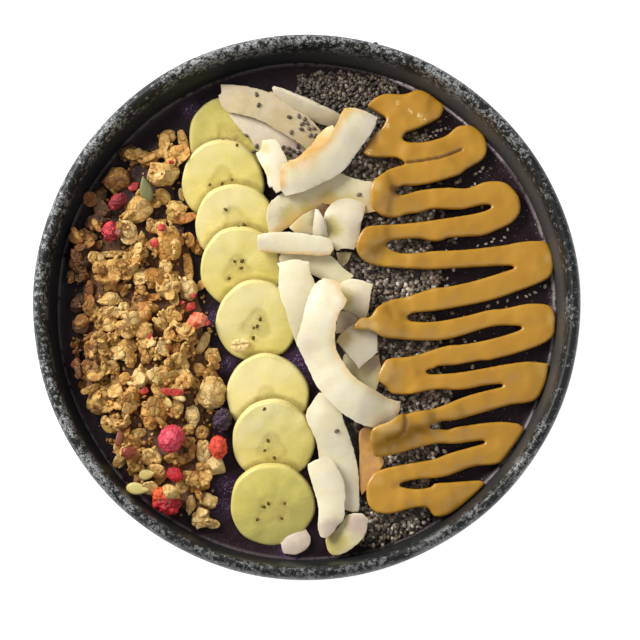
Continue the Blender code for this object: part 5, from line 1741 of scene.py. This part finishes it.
def make_chia_core():
    """The bed's core: a little lower than the bed, with a grainy relief."""
    core = merged_copy("chia_bed", "chia_core")
    remesh(core, CORE_VOXEL)
    points = get_points(core)
    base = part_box("chia_bed")[0].z / MM
    points[:, 2] = base - 0.7 + (points[:, 2] - base) * 0.62
    points[:, 2] += 0.25 * grain(points, 5.0) + 0.35 * grain(points, 1.5)
    set_points(core, points)
    smooth_faces(core)
    return serve(core, chia_bed_skin(), ["chia_bed"])


BED_TRIES = 10800
BED_SEEDS = 4300
BED_TOP = 50.2
STRAY_TRIES = 500
FULL_TURN = 6.3
CHIA_LENGTHS = (1.7, 2.1)
LOOSE_LENGTH = 1.75
PALE_LENGTHS = (1.1, 1.7)


def make_chia(ground, cover):
    """Chia seeds over the bed where it shows, fewer on the acai, and those that lie apart."""
    rng = np.random.default_rng(5)
    egg = new_primitive("chia_egg", bpy.ops.mesh.primitive_uv_sphere_add, segments=6,
                        ring_count=5, radius=0.001)
    points = get_points(egg) * np.array([1.0, 0.66, 0.5])
    points[:, 1:] *= (1 - 0.14 * points[:, 0])[:, None]
    set_points(egg, points)
    egg = Stamp(egg)
    seeds = Scatter("chia_seeds")

    def drop(x, y, raised, flatness):
        height, normal, _ = ground.at(x, y)
        tone = rng.choice([rng.uniform(0.10, 0.50), rng.uniform(0.50, 0.85),
                           rng.uniform(0.88, 1.05)], p=[0.45, 0.45, 0.10])
        # Painted shade: seeds darker towards the upper wall, above y 50 mm.
        tone -= 0.27 * float(soft_step(50.0, 66.0, y))
        size = rng.uniform(*CHIA_LENGTHS)
        up = (normal + Vector((*rng.normal(0, flatness, 2), 0))).normalized()
        points = egg.points * size @ facing(up, rng.uniform(0, FULL_TURN))
        seeds.add(egg, points + np.array([x, y, height + raised]), tone, rng.uniform(0, 1))

    for _ in range(BED_TRIES):
        x = rng.uniform(-6, 54)
        y = rng.uniform(-84, 86)
        if not inside_outline(x, y, CHIA_OUTLINE):
            continue
        top = cover.at(x, y)
        if top[2] and top[0] > BED_TOP:
            continue
        drop(x, y, rng.uniform(0.1, 0.9), 0.45)
        if len(seeds.points) > BED_SEEDS:
            break
    for _ in range(STRAY_TRIES):
        x = rng.uniform(36, 84)
        y = rng.uniform(-70, 74)
        keep = math.exp(-max(0.0, x - 46) / 11)
        if x * x + y * y > 84 ** 2 or rng.uniform() > keep or cover.at(x, y)[2]:
            continue
        drop(x, y, 0.25, 0.2)
    for x, y in PALE_SEEDS:
        turn = np.array(Matrix.Rotation(rng.uniform(0, FULL_TURN), 3, "Z")).T
        points = egg.points * rng.uniform(*PALE_LENGTHS) @ turn
        seeds.add(egg, points + np.array([x, y, ground.at(x, y)[0] + 0.3]),
                  rng.uniform(0.8, 1.05), 0.2)
    for x, y in LOOSE_SEEDS:
        height, normal, _ = max(ground.at(x, y), cover.at(x, y), key=lambda top: top[0])
        points = egg.points * LOOSE_LENGTH @ facing(normal, rng.uniform(0, FULL_TURN))
        seeds.add(egg, points + np.array([x, y, height + 0.25]), rng.uniform(0.25, 0.65),
                  rng.uniform(0, 1))
    serve(seeds.made(), chia_skin())


def seed_brown():
    """The small dark seeds in a banana's core."""
    finish = Finish("banana_seed_brown")
    marks = finish.noise(0.5, 2.0)
    color = finish.mix(marks, (0.060, 0.040, 0.008), (0.22, 0.150, 0.030))
    return finish.done(Base_Color=color, Roughness=0.7, Normal=finish.bump(marks, 0.05),
                       Specular_IOR_Level=0.1)


def make_banana_seeds(ground):
    """Seeds set flush in the cores of the slices."""
    rng = np.random.default_rng(3)
    pip = new_primitive("pip", bpy.ops.mesh.primitive_uv_sphere_add, segments=10, ring_count=6,
                        radius=0.001)
    points = get_points(pip) * np.array([1.0, 0.7, 0.35])
    points[:, 1] *= 1 - 0.35 * points[:, 0]
    set_points(pip, points)
    pip = Stamp(pip)
    pips = Scatter("banana_seeds")
    for number, places in BANANA_SEEDS.items():
        core = BANANA_CORES[number]
        for x, y in places:
            height, normal, _ = ground.at(x, y)
            turn = math.atan2(y - core[1], x - core[0]) + rng.uniform(-0.4, 0.4)
            points = pip.points * rng.uniform(1.1, 1.7) @ facing(normal, turn)
            pips.add(pip, points + np.array([x, y, height + 0.02]), 0.5, 0.5)
    serve(pips.made(), seed_brown())


VIEW_LEAN = 5.0
VIEW_TARGET = (4.9, -5.2, 62.0)
VIEW_DISTANCE = 620.0


def make_stage():
    """A pale floor, soft studio light from the upper left and the camera."""
    floor = new_primitive("floor", bpy.ops.mesh.primitive_plane_add, size=4.0)
    floor.data.materials.append(Finish("pale_floor").done(
        Base_Color=(0.5, 0.5, 0.5), Roughness=0.9,
        Emission_Color=(1.0, 1.0, 1.0, 1.0), Emission_Strength=0.85))

    world = bpy.data.worlds.new("studio")
    bpy.context.scene.world = world
    world.use_nodes = True
    sky = world.node_tree.nodes["Background"]
    sky.inputs["Color"].default_value = (0.96, 0.98, 1.0, 1.0)
    sky.inputs["Strength"].default_value = 0.37

    for name, place, size, power in (
            ("key_light", (-0.58, 0.44, 0.56), 0.46, 11.0),
            ("fill_light", (0.6, -0.3, 0.8), 0.7, 1.2)):
        light = bpy.data.lights.new(name, "AREA")
        light.energy = power
        light.size = size
        lamp = new_object(name, light)
        lamp.location = place
        toward = Vector((0, 0, 0.05)) - Vector(place)
        lamp.rotation_euler = toward.to_track_quat("-Z", "Y").to_euler()

    camera = bpy.data.cameras.new("view_from_above")
    camera.sensor_width = 36.0
    camera.lens = 100.125
    camera.clip_start = 0.01
    viewer = new_object("view_from_above", camera)
    lean = math.radians(VIEW_LEAN)
    back = Vector((0.0, -math.sin(lean), math.cos(lean)))
    viewer.location = (Vector(VIEW_TARGET) + back * VIEW_DISTANCE) * MM
    viewer.rotation_euler = (lean, 0.0, 0.0)
    bpy.context.scene.camera = viewer
    bpy.context.scene.view_settings.view_transform = "Standard"


def main():
    """Make every piece, each on top of those that lie below it."""
    make_stage()
    bowl = make_bowl()
    acai = make_acai()
    bananas = make_bananas()
    chips = make_chips()
    butter = make_butter()
    heap_core = make_heap_core()
    fruit = make_fruit()
    chia_core = make_chia_core()

    ground = Ground()
    ground.lay(bowl, acai, *bananas, *chips, heap_core, *fruit)
    fruit_places = []
    for node in FRUIT:
        low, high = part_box(node)
        reach = max(high.x - low.x, high.y - low.y) / 2 / MM
        fruit_places.append(((low.x + high.x) / 2 / MM, (low.y + high.y) / 2 / MM, reach))
    make_granola(ground, fruit_places)
    cover = Ground()
    cover.lay(*bananas, *chips, *butter)
    bed = Ground()
    bed.lay(acai, chia_core, bowl)
    make_chia(bed, cover)
    slices = Ground()
    slices.lay(*bananas)
    make_banana_seeds(slices)


main()
